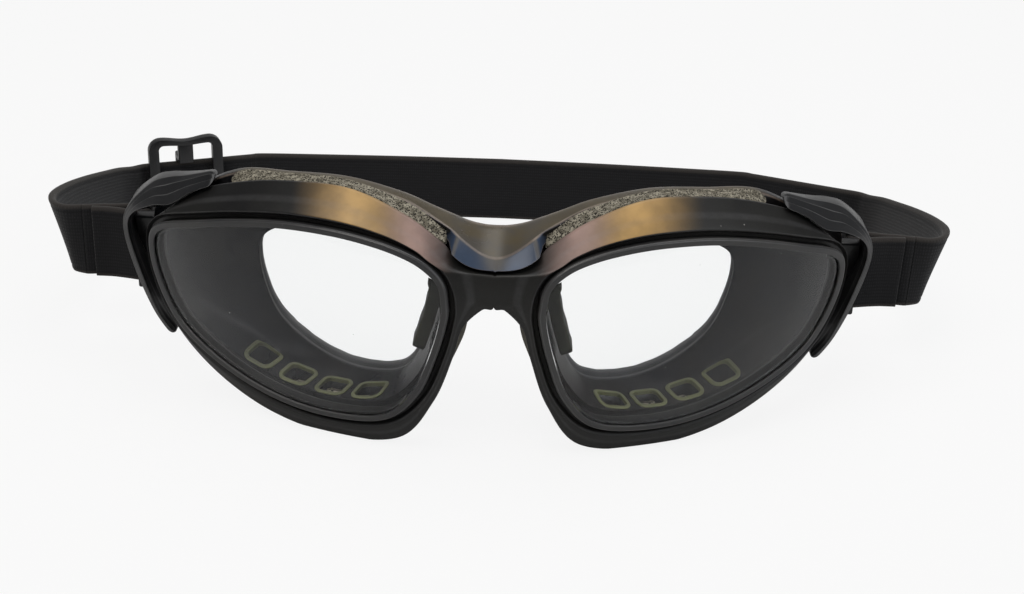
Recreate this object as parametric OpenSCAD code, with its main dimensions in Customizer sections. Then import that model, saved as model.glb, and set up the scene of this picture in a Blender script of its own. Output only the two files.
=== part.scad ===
// Strapped ballistic eyewear with a sliding vented lens carriage.
// Millimetres, +Z up, the front faces -Y and x = 0 is the plane of the nose.
// The part stands on z = 0 and its origin is under the middle of its box.

/* [Wrap of the front] */
// Radius of the front seen from above
wrap_r = 95; // [90:1:110]
// Radius of the front seen from the side
tilt_r = 90; // [80:1:120]
// Height at which the front stands upright
mid_z = 27; // [24:0.5:30]

/* [Lens] */
// Width of one lens with its rim
lens_w = 60.6; // [57:0.2:61]
// Height of one lens with its rim
lens_h = 39.8; // [37:0.2:41]
// Distance from the nose plane to the lens
lens_x = 8.4; // [8:0.1:10]
// Height of the lowest point of the lens
lens_z = 5.4; // [5:0.1:7]
// Thickness of the lens
lens_t = 2.2; // [1.8:0.1:2.6]
// Width of the lip that holds the lens
lip_w = 1.3; // [1:0.1:1.8]

/* [Lens carriage] */
// Thickness of the carriage round the lens
carriage_t = 4.6; // [4.4:0.1:5]
// Width of the dark groove round the lens
groove_w = 0.9; // [0.5:0.1:1.2]
// Depth of the dark groove round the lens
groove_d = 1.7; // [1:0.1:1.9]
// Thickness of the brow's hood
hood_t = 0.9; // [0.7:0.1:1]
// Travel of the carriage from open to closed
travel = 3; // [1:0.1:3.2]

/* [Main frame] */
// Depth of the bridge's front band behind the lens
band_d = 2.2; // [2:0.1:2.8]
// Depth of the ridge over that band
band_ridge_d = 4.6; // [4:0.1:5.4]
// Depth of the top deck's rear edge
deck_d = 14; // [12:0.5:15]
// Depth of the frame's face side
cup_d = 20; // [18:0.5:24]
// Width of the opening at the face side
eye_w = 35.7; // [32:0.5:37]
// Height of the opening at the face side
eye_h = 33.5; // [30:0.5:34]
// Width of the seat of the face gasket
seat_w = 4; // [3:0.1:5]

/* [Vents and gasket] */
// Width of one lower vent window
window_w = 5; // [3.5:0.1:5.4]
// Depth of one lower vent window
window_d = 4.8; // [4:0.1:5]
// Spacing of the lower vent windows
window_pitch = 7.3; // [6.8:0.1:8]
// Thickness of the face gasket
gasket_t = 6; // [4:0.5:8]

/* [Guide pins] */
// Radius of a guide pin
guide_r = 0.9; // [0.7:0.05:1.1]
// Length of a guide pin
guide_l = 9.6; // [9:0.1:10]
// Radial gap between a pin and what turns or slides on it
pin_gap = 0.05; // [0.02:0.01:0.1]

/* [Strap] */
// Width of the elastic strap
strap_w = 16; // [14:0.5:18]
// Thickness of the elastic strap
strap_t = 1.5; // [1:0.1:1.8]
// Height of the strap's middle where it leaves the frame
strap_z = 21.1; // [20:0.1:24]

/* [Strap clip] */
// Distance of the hinge pin inside the lens's outer edge
hinge_in = 2.4; // [2:0.1:3]
// Distance of the hinge pin behind the front of its yoke
hinge_back = 8.2; // [7.8:0.1:9.5]
// Radius of the hinge pin
hinge_r = 1; // [0.8:0.05:1.2]
// Wall of the clip and of the lugs round the pin
knuckle_w = 1.6; // [1.2:0.1:1.8]
// Width of the slot that the strap passes through
slot_w = 3.4; // [3:0.1:3.8]
// Width of the bar that the strap is sewn round
bar_w = 2.2; // [1.8:0.1:2.6]

/* [Strap slider] */
// Length of the slider along the strap
slider_l = 17.8; // [15:0.2:18.6]
// Height of the slider
slider_h = 24.6; // [22:0.2:26]
// Thickness of the slider's plate
slider_t = 2.2; // [1.6:0.1:2.6]
// Width of each bar of the slider
slider_bar = 2.4; // [1.8:0.1:2.8]
// Height of the slider's lower and upper rails
slider_rail = 1.5; // [1.2:0.1:1.8]
// Radius of the slider's corners
slider_corner = 3; // [1.5:0.5:3.5]

/* [Hidden] */
$fn = 32;

// Samples between two points of an outline
smooth = 2;
// Gap between pieces of one body that lie against each other
seat_gap = 0.1;
// Gap between pieces that move past each other
run_gap = 0.4;
// Depth of the lens's front face behind the front of its rim
lens_front = 0.6;

// The lens outline of the right eye as shares of its width and height,
// from the nose up over the brow, down at the temple and back below the eye
lens_shape = [[0, 0.63], [0, 0.72], [0.01, 0.8], [0.043, 0.867], [0.109, 0.93],
    [0.216, 0.977], [0.356, 1], [0.521, 0.988], [0.686, 0.935], [0.835, 0.857],
    [0.955, 0.774], [1, 0.668], [0.98, 0.48], [0.901, 0.276], [0.752, 0.131],
    [0.563, 0.03], [0.373, 0], [0.191, 0.045], [0.086, 0.216], [0.03, 0.442]];

// Distance from the lens outline to the carriage's edge along x and along z,
// the depth of that edge, and 1 where the edge is the hood of the upper vent
rim_shape = [[-2.7, -1.9, 1.6, 0], [-6.2, -1.6, 1.8, 0], [-9.6, -4, 1.8, 0],
    [-12, -0.7, 2, 0], [-6.4, 1, 4.2, 0.7], [-4, 4.5, 4.7, 1], [-1.5, 7.1, 4.7, 1],
    [0, 7, 4.7, 1], [0.5, 6.6, 4.7, 1], [1.5, 5, 4, 0.5], [1.3, 1.1, 2.2, 0],
    [1.2, 0.2, 1.6, 0], [1.4, -0.5, 1.6, 0], [2, -1.8, 1.5, 0], [2.2, -3.6, 1.4, 0],
    [1.5, -5.2, 1.4, 0], [-0.5, -5.9, 1.4, 0], [-2.5, -5.3, 1.4, 0], [-2.7, -2.2, 1.5, 0],
    [-2.8, -1, 1.6, 0]];

// Rise of the frame's ridge over the carriage's edge, and of the deck over the ridge
ridge_shape = [[0.3, -0.3], [0.3, -0.3], [0.3, -0.3], [3.2, 1.6], [2, 0.6], [0, 0.1],
    [-1.7, -0.3], [-2.3, -0.1], [-1.6, -0.2], [-2.6, -0.4], [-1.6, -0.3], [-1.2, -0.3],
    [-1.2, -0.3], [-1, -0.3], [0, -0.3], [0, -0.3], [0, -0.3], [0, -0.3], [0, -0.3],
    [0.2, -0.3]];

// The side bracket's edge next to the carriage, and its outer edge, from the brow round
// the temple to the lower tip: steps along x and z from the carriage's edge at these
// points of the outline, and the depth
bracket_at = [8.5, 9, 9.5, 10, 11, 11.5, 12, 13, 13.5];
bracket_in = [[-1.4, -0.8, 3.9], [-1.5, -0.6, 2.7], [-0.8, -0.7, 2], [0.7, 0.6, 2.5],
    [3.3, 1.7, 2.3], [5, 1, 2.6], [3.3, -1.7, 2.6], [3.2, 0, 2.2], [3.5, 0.5, 2.8]];
bracket_out = [[-1.3, 0.7, 8.3], [0.5, 0.3, 8.2], [1.3, 1.9, 7.7], [2.2, 2.9, 6.9],
    [4.5, 2.7, 3.2], [6.3, 1.4, 2.1], [5.1, -1.4, 2.2], [4.5, -0.1, 2.2], [4, -0.3, 2.5]];
// Depth of the bracket behind its front edge, and the thickness of its wall
bracket_back = 8.4;
bracket_wall = 1.6;
// Above this height the bracket turns from the temple into the brow over knee_h
bracket_knee = lens_z + lens_h * 0.72;
knee_h = 14;

// The strap's middle line on the right side: share of the distance from the nose plane
// to the sewn end, steps back from the hinge, share of the drop to the slider's rail and
// on to the floor, and how far the top edge leans outwards
strap_shape = [[1.001, 0, 0, 0], [1.039, 0.7, 0.01, 2], [1.062, 3.7, 0.03, 4],
    [1.071, 9.5, 0.09, 5], [1.068, 18.5, 0.24, 4.5], [1.059, 28.5, 0.44, 3],
    [1.047, 37.5, 0.64, 1.5], [1.032, 45, 0.81, 0.6], [1.0126, 50.3, 0.95, 0],
    [0.9886, 53.57, 1, 0], [0.9361, 55.34, 1, 0], [0.8847, 57.06, 1, 0],
    [0.7991, 59.93, 1, 0], [0.7135, 62.81, 1, 0],
    [0.6735, 64.22, 1.06, 0], [0.525, 67.7, 1.65, 0], [0.274, 70.3, 2, 0], [0, 70.9, 2, 0]];
// Points of the route between which the strap runs straight through the slider
slider_from = 9;
slider_on = 11;
slider_to = 13;

// Spline through closed or open lists of points

function lerp(a, b, u) = a * (1 - u) + b * u;

function curve(a, b, c, d, u) =
    b + u * (c - a) / 2 + u * u * (a - 2.5 * b + 2 * c - d / 2)
    + u * u * u * (1.5 * (b - c) + (d - a) / 2);

function closed_spline(p, s = smooth) =
    let (n = len(p))
    [for (i = [0 : n - 1], k = [0 : s - 1])
        curve(p[(i + n - 1) % n], p[i], p[(i + 1) % n], p[(i + 2) % n], k / s)];

function open_spline(p, s = smooth) =
    let (n = len(p))
    concat([for (i = [0 : n - 2], k = [0 : s - 1])
        curve(p[max(i - 1, 0)], p[i], p[i + 1], p[min(i + 2, n - 1)], k / s)], [p[n - 1]]);

// The curved front: its depth at x and z, and the direction into the cup

function front_y(x, z) = wrap_r - sqrt(wrap_r * wrap_r - x * x)
    + tilt_r - sqrt(tilt_r * tilt_r - (z - mid_z) * (z - mid_z));

function slope(x, z) = [-x / sqrt(wrap_r * wrap_r - x * x), 1,
    -(z - mid_z) / sqrt(tilt_r * tilt_r - (z - mid_z) * (z - mid_z))];
function inward(x, z) = slope(x, z) / norm(slope(x, z));

// Depth along y of a surface that lies at a depth square to the front
function slanted(p, d) = d * norm(slope(p[0], p[1]));

// A point at a depth square to the front, and one at a depth along y
function skin(p, d) = [p[0], front_y(p[0], p[1]), p[1]] + d * inward(p[0], p[1]);
function deep(p, d) = [p[0], front_y(p[0], p[1]) + d, p[1]];

// Outlines of the right eye

lens_line = closed_spline([for (p = lens_shape) [lens_x + p[0] * lens_w, lens_z + p[1] * lens_h]]);
stations = len(lens_line);

rim_data = closed_spline([for (i = [0 : len(lens_shape) - 1])
    let (p = lens_shape[i], r = rim_shape[i])
    [max(0, lens_x + p[0] * lens_w + r[0]), lens_z + p[1] * lens_h + r[1], r[2], r[3]]]);
rim_line = [for (p = rim_data) [max(0, p[0]), max(0, p[1])]];
rim_depth = [for (p = rim_data) p[2]];
hood = [for (p = rim_data) min(1, max(0, p[3]))];

ridge_data = closed_spline(ridge_shape);

// The bridge's band runs over the stations around the nose plane
bridge_first = 2 * smooth;
bridge_mid = 3 * smooth;
hood_first = 4 * smooth;
function band(i) = i >= bridge_mid && i < hood_first;
function under(i) = i >= bridge_first && i <= hood_first;

function leftward(a, b) = let (t = (b - a) / norm(b - a)) [-t[1], t[0]];

// The lens outline moved outwards by w
function grown(line, w) =
    let (n = len(line))
    [for (i = [0 : n - 1])
        line[i] + w * leftward(line[(i + n - 1) % n], line[(i + 1) % n])];

// Points at a distance w from the lens outline towards the carriage's edge
function outward(w, most = 0.85) = [for (i = [0 : stations - 1])
    let (step = rim_line[i] - lens_line[i])
    lens_line[i] + step * min(w / norm(step), most)];

function between(a, b, u) = [for (i = [0 : len(a) - 1]) lerp(a[i], b[i], u)];

// The opening at the face side, a smaller copy of the lens outline
eye_in = 2.6;
eye_low = 2;
eye_line = [for (p = lens_line)
    [lens_x + eye_in + (p[0] - lens_x) * eye_w / lens_w,
        lens_z + eye_low + (p[1] - lens_z) * eye_h / lens_h]];

ridge_line = [for (i = [0 : stations - 1])
    let (a = rim_line[(i + stations - 1) % stations], b = rim_line[(i + 1) % stations],
        out = rim_line[i][0] == 0 ? [0, 1] : leftward(a, b),
        p = rim_line[i] + ridge_data[i][0] * out)
    [max(0, rim_line[i][0] == 0 ? 0 : p[0]), max(0, p[1])]];

// 1 where the frame stands on the floor and 0 above it
foot_top = 8;
foot_h = 4;
function foot(i) = min(1, max(0, (foot_top - rim_line[i][1]) / foot_h));

// Meshes of loops: a closed tube of loops, and the same tube for both eyes

function tube_faces(rows, n, close_n = true) =
    [for (a = [0 : rows - 1], i = [0 : close_n ? n - 1 : n - 2])
        let (b = (a + 1) % rows, j = (i + 1) % n)
        each [[a * n + i, b * n + i, b * n + j], [a * n + i, b * n + j, a * n + j]]];

module tube(loops) {
    n = len(loops[0]);
    polyhedron([for (l = loops) each l], tube_faces(len(loops), n), convexity = 8);
}

module both_eyes(loops) {
    n = len(loops[0]);
    right = [for (l = loops) each l];
    count = len(right);
    left = [for (p = right) [-p[0], p[1], p[2]]];
    faces = [for (f = tube_faces(len(loops), n))
        if (max(right[f[0]][0], right[f[1]][0], right[f[2]][0]) > 0) f];
    mirrored = [for (f = faces)
        [for (k = [2, 1, 0]) right[f[k]][0] == 0 ? f[k] : f[k] + count]];
    polyhedron(concat(right, left), concat(faces, mirrored), convexity = 10);
}

// A run of equal sections with flat ends
module bar(sections) {
    n = len(sections[0]);
    rows = len(sections);
    points = [for (s = sections) each s];
    sides = [for (a = [0 : rows - 2], i = [0 : n - 1])
        let (j = (i + 1) % n)
        each [[a * n + i, a * n + j, (a + 1) * n + j], [a * n + i, (a + 1) * n + j, (a + 1) * n + i]]];
    caps = [for (i = [1 : n - 2])
        each [[0, i + 1, i], [(rows - 1) * n, (rows - 1) * n + i, (rows - 1) * n + i + 1]]];
    polyhedron(points, concat(sides, caps), convexity = 6);
}

module on_left() mirror([1, 0, 0]) children();
module placed() translate([0, -origin_y, 0]) children();

// Lens carriage with its two eye rings, its hood over the vents and its bridge

function carriage_loops() =
    let (crest = outward(groove_w + 0.5), middle = between(crest, rim_line, 0.45),
        root = outward(groove_w + 0.3, 0.5), lip = grown(lens_line, -1.1),
        wall = grown(lens_line, 0.15), brow = between(lens_line, rim_line, 0.62))
    let (s = [0 : stations - 1])
    [[for (i = s) skin(lip[i], lens_front + lens_t + seat_gap)],
        [for (i = s) skin(wall[i], lens_front + lens_t + seat_gap)],
        [for (i = s) skin(wall[i], groove_d + 0.2)],
        [for (i = s) skin(outward(groove_w)[i], groove_d)],
        [for (i = s) skin(crest[i], 0.6)],
        [for (i = s) skin(middle[i], lerp(0.6, rim_depth[i], 0.42))],
        [for (i = s) skin(rim_line[i], rim_depth[i])],
        [for (i = s) skin(rim_line[i], lerp(carriage_t, rim_depth[i] + hood_t, hood[i]))],
        [for (i = s) skin(brow[i], lerp(carriage_t, lerp(0.6, rim_depth[i], 0.5) + hood_t, hood[i]))],
        [for (i = s) skin(root[i], carriage_t)],
        [for (i = s) skin(lip[i], carriage_t)]];

// Guide pins stand in the carriage and slide in bores of the frame
guide_at = [[lens_x - 4, lens_z + lens_h * 0.774], [lens_x + lens_w * 0.695, lens_z + 1.2]];
guide_start = 2.8;

module guide_pin(p, r, from, to)
    translate([p[0], front_y(p[0], p[1]) + from, p[1]]) rotate([-90, 0, 0])
        cylinder(r = r, h = to - from);

module lens_carriage() {
    color("#1b1b1e") placed() difference() {
        both_eyes(carriage_loops());
        for (p = guide_at, side = [0, 1]) mirror([side, 0, 0])
            guide_pin(p, guide_r, guide_start, 2 * carriage_t);
    }
}

module guide_pins()
    color("silver") placed() for (p = guide_at, side = [0, 1]) mirror([side, 0, 0])
        guide_pin(p, guide_r, guide_start, guide_start + guide_l);

// Lens and the rim that holds it

module lens() {
    edge = grown(lens_line, -0.55);
    middle = [lens_x + lens_w * 0.48, lens_z + lens_h * 0.5];
    shares = [0.3, 0.65, 1];
    rings = [for (u = shares) [for (p = edge) lerp(middle, p, u)]];
    n = stations;
    k = len(shares);
    front = lens_front;
    points = concat([skin(middle, front)],
        [for (r = rings) each [for (p = r) skin(p, front)]],
        [for (i = [k - 1 : -1 : 0]) each [for (p = rings[i]) skin(p, front + lens_t)]],
        [skin(middle, front + lens_t)]);
    last = len(points) - 1;
    first = last - n;
    faces = concat(
        [for (i = [0 : n - 1]) [0, 1 + i, 1 + (i + 1) % n]],
        [for (a = [0 : 2 * k - 2], i = [0 : n - 1])
            let (j = (i + 1) % n, p = 1 + a * n, q = 1 + (a + 1) * n)
            each [[p + i, q + i, q + j], [p + i, q + j, p + j]]],
        [for (i = [0 : n - 1]) [last, first + (i + 1) % n, first + i]]);
    color("#c8d0d4", 0.4) polyhedron(points, faces, convexity = 4);
}

module lens_rim() {
    line = lens_line;
    deepest = lens_t + 0.55;
    color("#4a4a4c") tube([
        [for (p = grown(line, -lip_w)) skin(p, 0.15)],
        [for (p = grown(line, -0.3)) skin(p, 0)],
        [for (p = grown(line, 0.05)) skin(p, 0.35)],
        [for (p = grown(line, 0.05)) skin(p, deepest)],
        [for (p = grown(line, -0.5)) skin(p, deepest)],
        [for (p = grown(line, -0.5)) skin(p, 0.55)],
        [for (p = grown(line, -lip_w)) skin(p, 0.55)]]);
}

// Main frame: both cups, the top deck, the bridge's band and the lower wall

function frame_front(p) = slanted(p, carriage_t) + travel + 1.5 * run_gap;
function ridge_depth(i) = travel + 2 * run_gap
    + slanted(rim_line[i], max(carriage_t, lerp(carriage_t, rim_depth[i] + hood_t, hood[i])));

function frame_loops() =
    let (inner = grown(lens_line, -cup_edge), root = outward(1.5), wall = outward(1.7),
        seat = grown(eye_line, seat_w), cup = between(inner, eye_line, 0.35))
    let (s = [0 : stations - 1])
    [[for (i = s) deep(inner[i], frame_front(inner[i]))],
        [for (i = s) let (p = under(i) ? lifted(i) : root[i]) deep(p, frame_front(p))],
        [for (i = s) deep(under(i) ? lifted(i) : wall[i], band(i) ? band_d : ridge_depth(i))],
        [for (i = s) deep(ridge_line[i], band(i) ? band_ridge_d : ridge_depth(i))],
        [for (i = s) let (p = ridge_line[i]) deep([p[0], deck_z(i) * (1 - foot(i))], deck_d)],
        [for (i = s) deep([max(2, seat[i][0]), seat[i][1]], cup_d)],
        [for (i = s) deep(eye_line[i], cup_d)],
        [for (i = s) deep(cup[i], cup_mid_d)]];

function lifted(i) = rim_line[i] + [0, i == bridge_first ? 0 : run_gap];
function deck_z(i) = ridge_line[i][1] + ridge_data[i][1];
// Step of the cup's front edge inside the lens outline, and the depth of its narrowing
cup_edge = 0.8;
cup_mid_d = 15.5;

windows_x = [for (k = [-1.5 : 1 : 1.5]) lens_x + lens_w * 0.432 + k * window_pitch];
window_y = 12;
// Depth of the frame's lower wall at the windows, and the height up to which they are cut
wall_low = 1.6;
wall_high = 4.6;
cut_high = 20;

module vent_window(x, w, d, low, high)
    translate([x, front_y(x, lens_z) + window_y, 0]) rotate([0, 0, atan(x / wrap_r)])
        translate([-w / 2, -d / 2, low]) cube([w, d, high - low]);

module main_frame() {
    color("#232327") placed() difference() {
        both_eyes(frame_loops());
        for (side = [0, 1]) mirror([side, 0, 0]) {
            for (x = windows_x) vent_window(x, window_w, window_d, -1, cut_high);
            for (p = guide_at)
                guide_pin(p, guide_r + pin_gap, carriage_t, guide_start + guide_l + travel + run_gap);
        }
    }
}

// Foam of the upper vent, along the hood, and plugs in the lower windows

foam_last = 8 * smooth;

module vent_foam_top() {
    low = outward(2.2);
    color("#6b655a") bar([for (i = [hood_first : foam_last])
        let (front = rim_depth[i] + hood_t + seat_gap, top = lerp(rim_line[i], ridge_line[i], 0.6),
            back = (i <= hood_first + 1 ? frame_front(rim_line[i]) : ridge_depth(i)) - 2 * seat_gap)
        [skin(low[i], front), skin(rim_line[i], front), deep(top, back), deep(low[i], back)]]);
}

module vent_foam_bottom() {
    color("#4c4a38") for (x = windows_x)
        vent_window(x, window_w - 2 * seat_gap, window_d - 2 * seat_gap, wall_low, wall_high);
}

// Soft gasket against the face, crowned and drawn in at its sides

module face_gasket() {
    inner = eye_line;
    seat = grown(eye_line, seat_w);
    d = cup_d + seat_gap;
    color("#2a2a2b") tube([
        [for (p = between(inner, seat, 0.06)) deep(p, d)],
        [for (p = between(inner, seat, 0.94)) deep(p, d)],
        [for (p = between(inner, seat, 1)) deep(p, d + gasket_t * 0.45)],
        [for (p = between(inner, seat, 0.8)) deep(p, d + gasket_t * 0.9)],
        [for (p = between(inner, seat, 0.5)) deep(p, d + gasket_t)],
        [for (p = between(inner, seat, 0.2)) deep(p, d + gasket_t * 0.9)],
        [for (p = between(inner, seat, 0)) deep(p, d + gasket_t * 0.45)]]);
}

// Rubber pad on the nose side of each cup, and the clip that holds it inside

// Width of the pad along the depth, its rise over the frame and the rise of its crown
pad_w = 3.6;
pad_rise = 0.5;
pad_crown = 0.9;

module nose_pad() {
    n = 2.5 * smooth;
    first = stations - 2 * smooth;
    root = grown(ridge_line, 2 * seat_gap);
    back = deck_d - 2 * seat_gap;
    color("#3a3a2c") bar([for (k = [0 : n])
        let (i = (first + k) % stations, top = grown(ridge_line, pad_rise + pad_crown * sin(180 * k / n))[i])
        [deep(top, back - pad_w + run_gap), deep(lerp(root[i], top, 1.15), back - pad_w / 6),
            deep(top, back), deep(root[i], back), deep(root[i], back - pad_w)]]);
}

// Depths of the clip's front and back, and its thickness off the cup's wall
pad_clip_front = 9.6;
pad_clip_back = cup_mid_d - 0.5;
pad_clip_t = 2.5;

module pad_clip() {
    n = 3 * smooth;
    first = stations - 1.5 * smooth;
    wall = grown(lens_line, -cup_edge - 0.75);
    face = grown(lens_line, -cup_edge - 0.75 - pad_clip_t);
    color("#3c3d22") bar([for (k = [0 : n])
        let (i = (first + k) % stations, p = wall[i], q = face[i])
        [deep(p, pad_clip_front), deep(p, pad_clip_back), deep(q, pad_clip_back), deep(q, pad_clip_front)]]);
}

// Side bracket: a shell round the temple that carries the strap's hinge

function by_rim(steps) = [for (k = [0 : len(steps) - 1])
    let (p = rim_line[bracket_at[k] * smooth]) [p[0] + steps[k][0], p[1] + steps[k][1], steps[k][2]]];

// The yoke's arm reaches the bracket's wall at this point of its edge
arm_end = by_rim(bracket_out)[5][0] - bracket_wall;
arm_h = 13;
arm_t = 3.4;
arm_d = 7.9;
yoke_y = front_y(arm_end, mid_z) + arm_d;
hinge_x = lens_x + lens_w - hinge_in;
hinge_y = yoke_y + hinge_back;
hinge_top = strap_z + strap_w / 2 + 1.9;
hinge_low = strap_z - strap_w / 2 - 1.5;
lug_h = 2.6;
knuckle_r = hinge_r + knuckle_w;

module lugs() {
    difference() {
        union() {
            translate([hinge_x - knuckle_r, yoke_y, hinge_low])
                cube([2 * knuckle_r, hinge_y - knuckle_r - run_gap - yoke_y, hinge_top - hinge_low]);
            translate([hinge_x, yoke_y, strap_z - 0.285 * arm_h]) cube([arm_end - hinge_x, arm_t, arm_h]);
            for (z = [hinge_low, hinge_top - lug_h]) {
                translate([hinge_x - knuckle_r, yoke_y, z])
                    cube([2 * knuckle_r, hinge_y - yoke_y, lug_h]);
                translate([hinge_x, hinge_y, z]) cylinder(r = knuckle_r, h = lug_h);
            }
        }
        translate([hinge_x, hinge_y, hinge_low - 1])
            cylinder(r = hinge_r, h = hinge_top - hinge_low + 2);
    }
}

module hinge_pin() color("silver")
    translate([hinge_x, hinge_y, hinge_low]) cylinder(r = hinge_r, h = hinge_top - hinge_low);

module side_bracket() {
    inner = open_spline(by_rim(bracket_in));
    outer = open_spline(by_rim(bracket_out));
    color("#202022") {
        lugs();
        bracket_shell(inner, outer);
    }
}

module bracket_shell(inner, outer) bar([for (i = [0 : len(inner) - 1])
        let (a = inner[i], w = outer[i], away = (w - a) / norm([w[0] - a[0], w[1] - a[1]]),
            p = [w[0], w[1]], q = [a[0], a[1]], step = [away[0], away[1]],
            top = max(0, w[1] - bracket_knee) / knee_h, rear = w[2] + bracket_back * (1 - 0.6 * top),
            wall = bracket_wall * (1 - 0.5 * top), r = p - [0.4, 1] * top)
        [deep(q, a[2]), deep(p, w[2]), deep(r, rear), deep(r - step * wall, rear),
            deep(lerp(p, q, 0.5) - step * wall / 2, w[2] + 2 * wall), deep(q, a[2] + wall)]]);

// Clip between the lugs, with a slot for the strap and a round outer bar

clip_t = 2.4;
clip_arm = 2;
strap_gap = 0.3;
clip_in = hinge_x + knuckle_r + run_gap;
slot_in = clip_in + knuckle_w;
bar_x = slot_in + slot_w + bar_w / 2;

module strap_clip() {
    low = strap_z - strap_w / 2 - strap_gap;
    high = strap_z + strap_w / 2 + strap_gap;
    arm = clip_arm;
    barrel = hinge_top - hinge_low - 2 * (lug_h + run_gap);
    color("#1a1a1a") difference() {
        union() {
            translate([hinge_x, hinge_y, hinge_low + lug_h + run_gap])
                cylinder(r = knuckle_r, h = barrel);
            translate([hinge_x, hinge_y - clip_t / 2, hinge_low + lug_h + run_gap])
                cube([clip_in - hinge_x + 1, clip_t, barrel]);
            translate([clip_in, hinge_y - clip_t / 2, low - arm])
                cube([slot_in - clip_in, clip_t, high - low + 2 * arm]);
            for (z = [low - arm, high]) translate([clip_in, hinge_y - clip_t / 2, z])
                cube([bar_x - clip_in, clip_t, arm]);
            translate([bar_x, hinge_y, low - arm]) cylinder(r = bar_w / 2, h = high - low + 2 * arm);
            for (z = [low - arm, high]) translate([bar_x, hinge_y, z])
                cylinder(r = clip_t / 2, h = arm);
        }
        translate([hinge_x, hinge_y, hinge_low])
            cylinder(r = hinge_r + pin_gap, h = hinge_top - hinge_low);
    }
}

// Strap, sewn round the clip's bar at each end

sewn_l = 11.9;
sewn_from = 7;
strap_end_x = bar_x + sewn_l;

module strap_end() {
    inside = bar_w / 2 + 2 * seat_gap;
    outside = inside + strap_t;
    tip = sewn_l - 2 * seat_gap;
    color("#141414") translate([bar_x, hinge_y, strap_z - strap_w / 2])
        linear_extrude(strap_w) difference() {
            union() {
                circle(outside);
                polygon([[0, -outside], [sewn_from, -strap_t], [tip, -strap_t],
                    [tip, strap_t], [sewn_from, strap_t], [0, outside]]);
            }
            circle(inside);
            polygon([[0, -inside], [sewn_from - strap_t, 0], [0, inside]]);
        }
}

low_z = slider_rail + strap_gap + strap_w / 2;
floor_z = strap_w / 2 + seat_gap;
strap_route = [for (p = strap_shape)
    [p[0] * strap_end_x, hinge_y + p[1],
        p[2] < 1 ? lerp(strap_z, low_z, p[2]) : lerp(low_z, floor_z, p[2] - 1), p[3]]];
strap_back = strap_route[len(strap_route) - 1][1];
origin_y = (strap_back + strap_t / 2) / 2;

module strap() {
    half = open_spline(strap_route, 3);
    line = concat(half, [for (i = [len(half) - 2 : -1 : 0]) let (p = half[i]) [-p[0], p[1], p[2], p[3]]]);
    n = len(line);
    color("#141414") bar([for (i = [0 : n - 1])
        let (a = line[max(i - 1, 0)], b = line[min(i + 1, n - 1)], p = line[i],
            middle = [p[0], p[1], p[2]], along = norm([b[0] - a[0], b[1] - a[1]]),
            inwards = [a[1] - b[1], b[0] - a[0], 0] / along, side = inwards * strap_t / 2,
            up = [0, 0, strap_w / 2] - inwards * p[3] / 2)
        [middle - side - up, middle - side + up, middle + side + up, middle + side - up]]);
}

// Slider: a plate with round corners before the strap, and a bar behind it

slider_at = strap_route[slider_on];
slider_turn = atan2(strap_route[slider_to][1] - strap_route[slider_from][1],
    strap_route[slider_from][0] - strap_route[slider_to][0]);
rear_bar_w = 1.5 * slider_bar;
rear_bar_t = slider_t - run_gap;

function round_box(w, h, r) = [for (c = [[1, 1, 0], [-1, 1, 90], [-1, -1, 180], [1, -1, 270]],
    a = [0 : 15 : 90])
    [c[0] * (w / 2 - r) + r * cos(c[2] + a), c[1] * (h / 2 - r) + r * sin(c[2] + a)]];

module strap_slider() {
    front = strap_t / 2 + strap_gap;
    color("#101010") translate([-slider_at[0], slider_at[1], 0]) rotate([0, 0, slider_turn]) {
        translate([0, -front, slider_h / 2]) rotate([90, 0, 0]) linear_extrude(slider_t) difference() {
            polygon(round_box(slider_l, slider_h, slider_corner));
            square([slider_l - 2 * slider_bar, slider_h - 2 * slider_rail], center = true);
        }
        translate([-rear_bar_w / 2, front, 0]) cube([rear_bar_w, rear_bar_t, slider_h]);
        for (z = [0, slider_h - slider_rail]) translate([-rear_bar_w / 2, -front - slider_t, z])
            cube([rear_bar_w, 2 * front + slider_t + rear_bar_t, slider_rail]);
    }
}

main_frame();
placed() on_left() side_bracket();  // side_bracket_left
placed() side_bracket();  // side_bracket_right
lens_carriage();
placed() on_left() lens();  // lens_left
placed() lens();  // lens_right
placed() on_left() lens_rim();  // lens_rim_left
placed() lens_rim();  // lens_rim_right
placed() on_left() vent_foam_top();  // vent_foam_top_left
placed() vent_foam_top();  // vent_foam_top_right
placed() on_left() vent_foam_bottom();  // vent_foam_bottom_left
placed() vent_foam_bottom();  // vent_foam_bottom_right
placed() on_left() face_gasket();  // face_gasket_left
placed() face_gasket();  // face_gasket_right
placed() on_left() nose_pad();  // nose_pad_left
placed() nose_pad();  // nose_pad_right
placed() on_left() pad_clip();  // pad_clip_left
placed() pad_clip();  // pad_clip_right
guide_pins();
placed() on_left() hinge_pin();  // hinge_pin_left
placed() hinge_pin();  // hinge_pin_right
placed() on_left() strap_clip();  // strap_clip_left
placed() strap_clip();  // strap_clip_right
placed() on_left() strap_end();  // strap_end_left
placed() strap_end();  // strap_end_right
placed() strap();
placed() strap_slider();
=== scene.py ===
import math

import bpy
import numpy as np
from mathutils import Matrix, Vector


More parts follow.
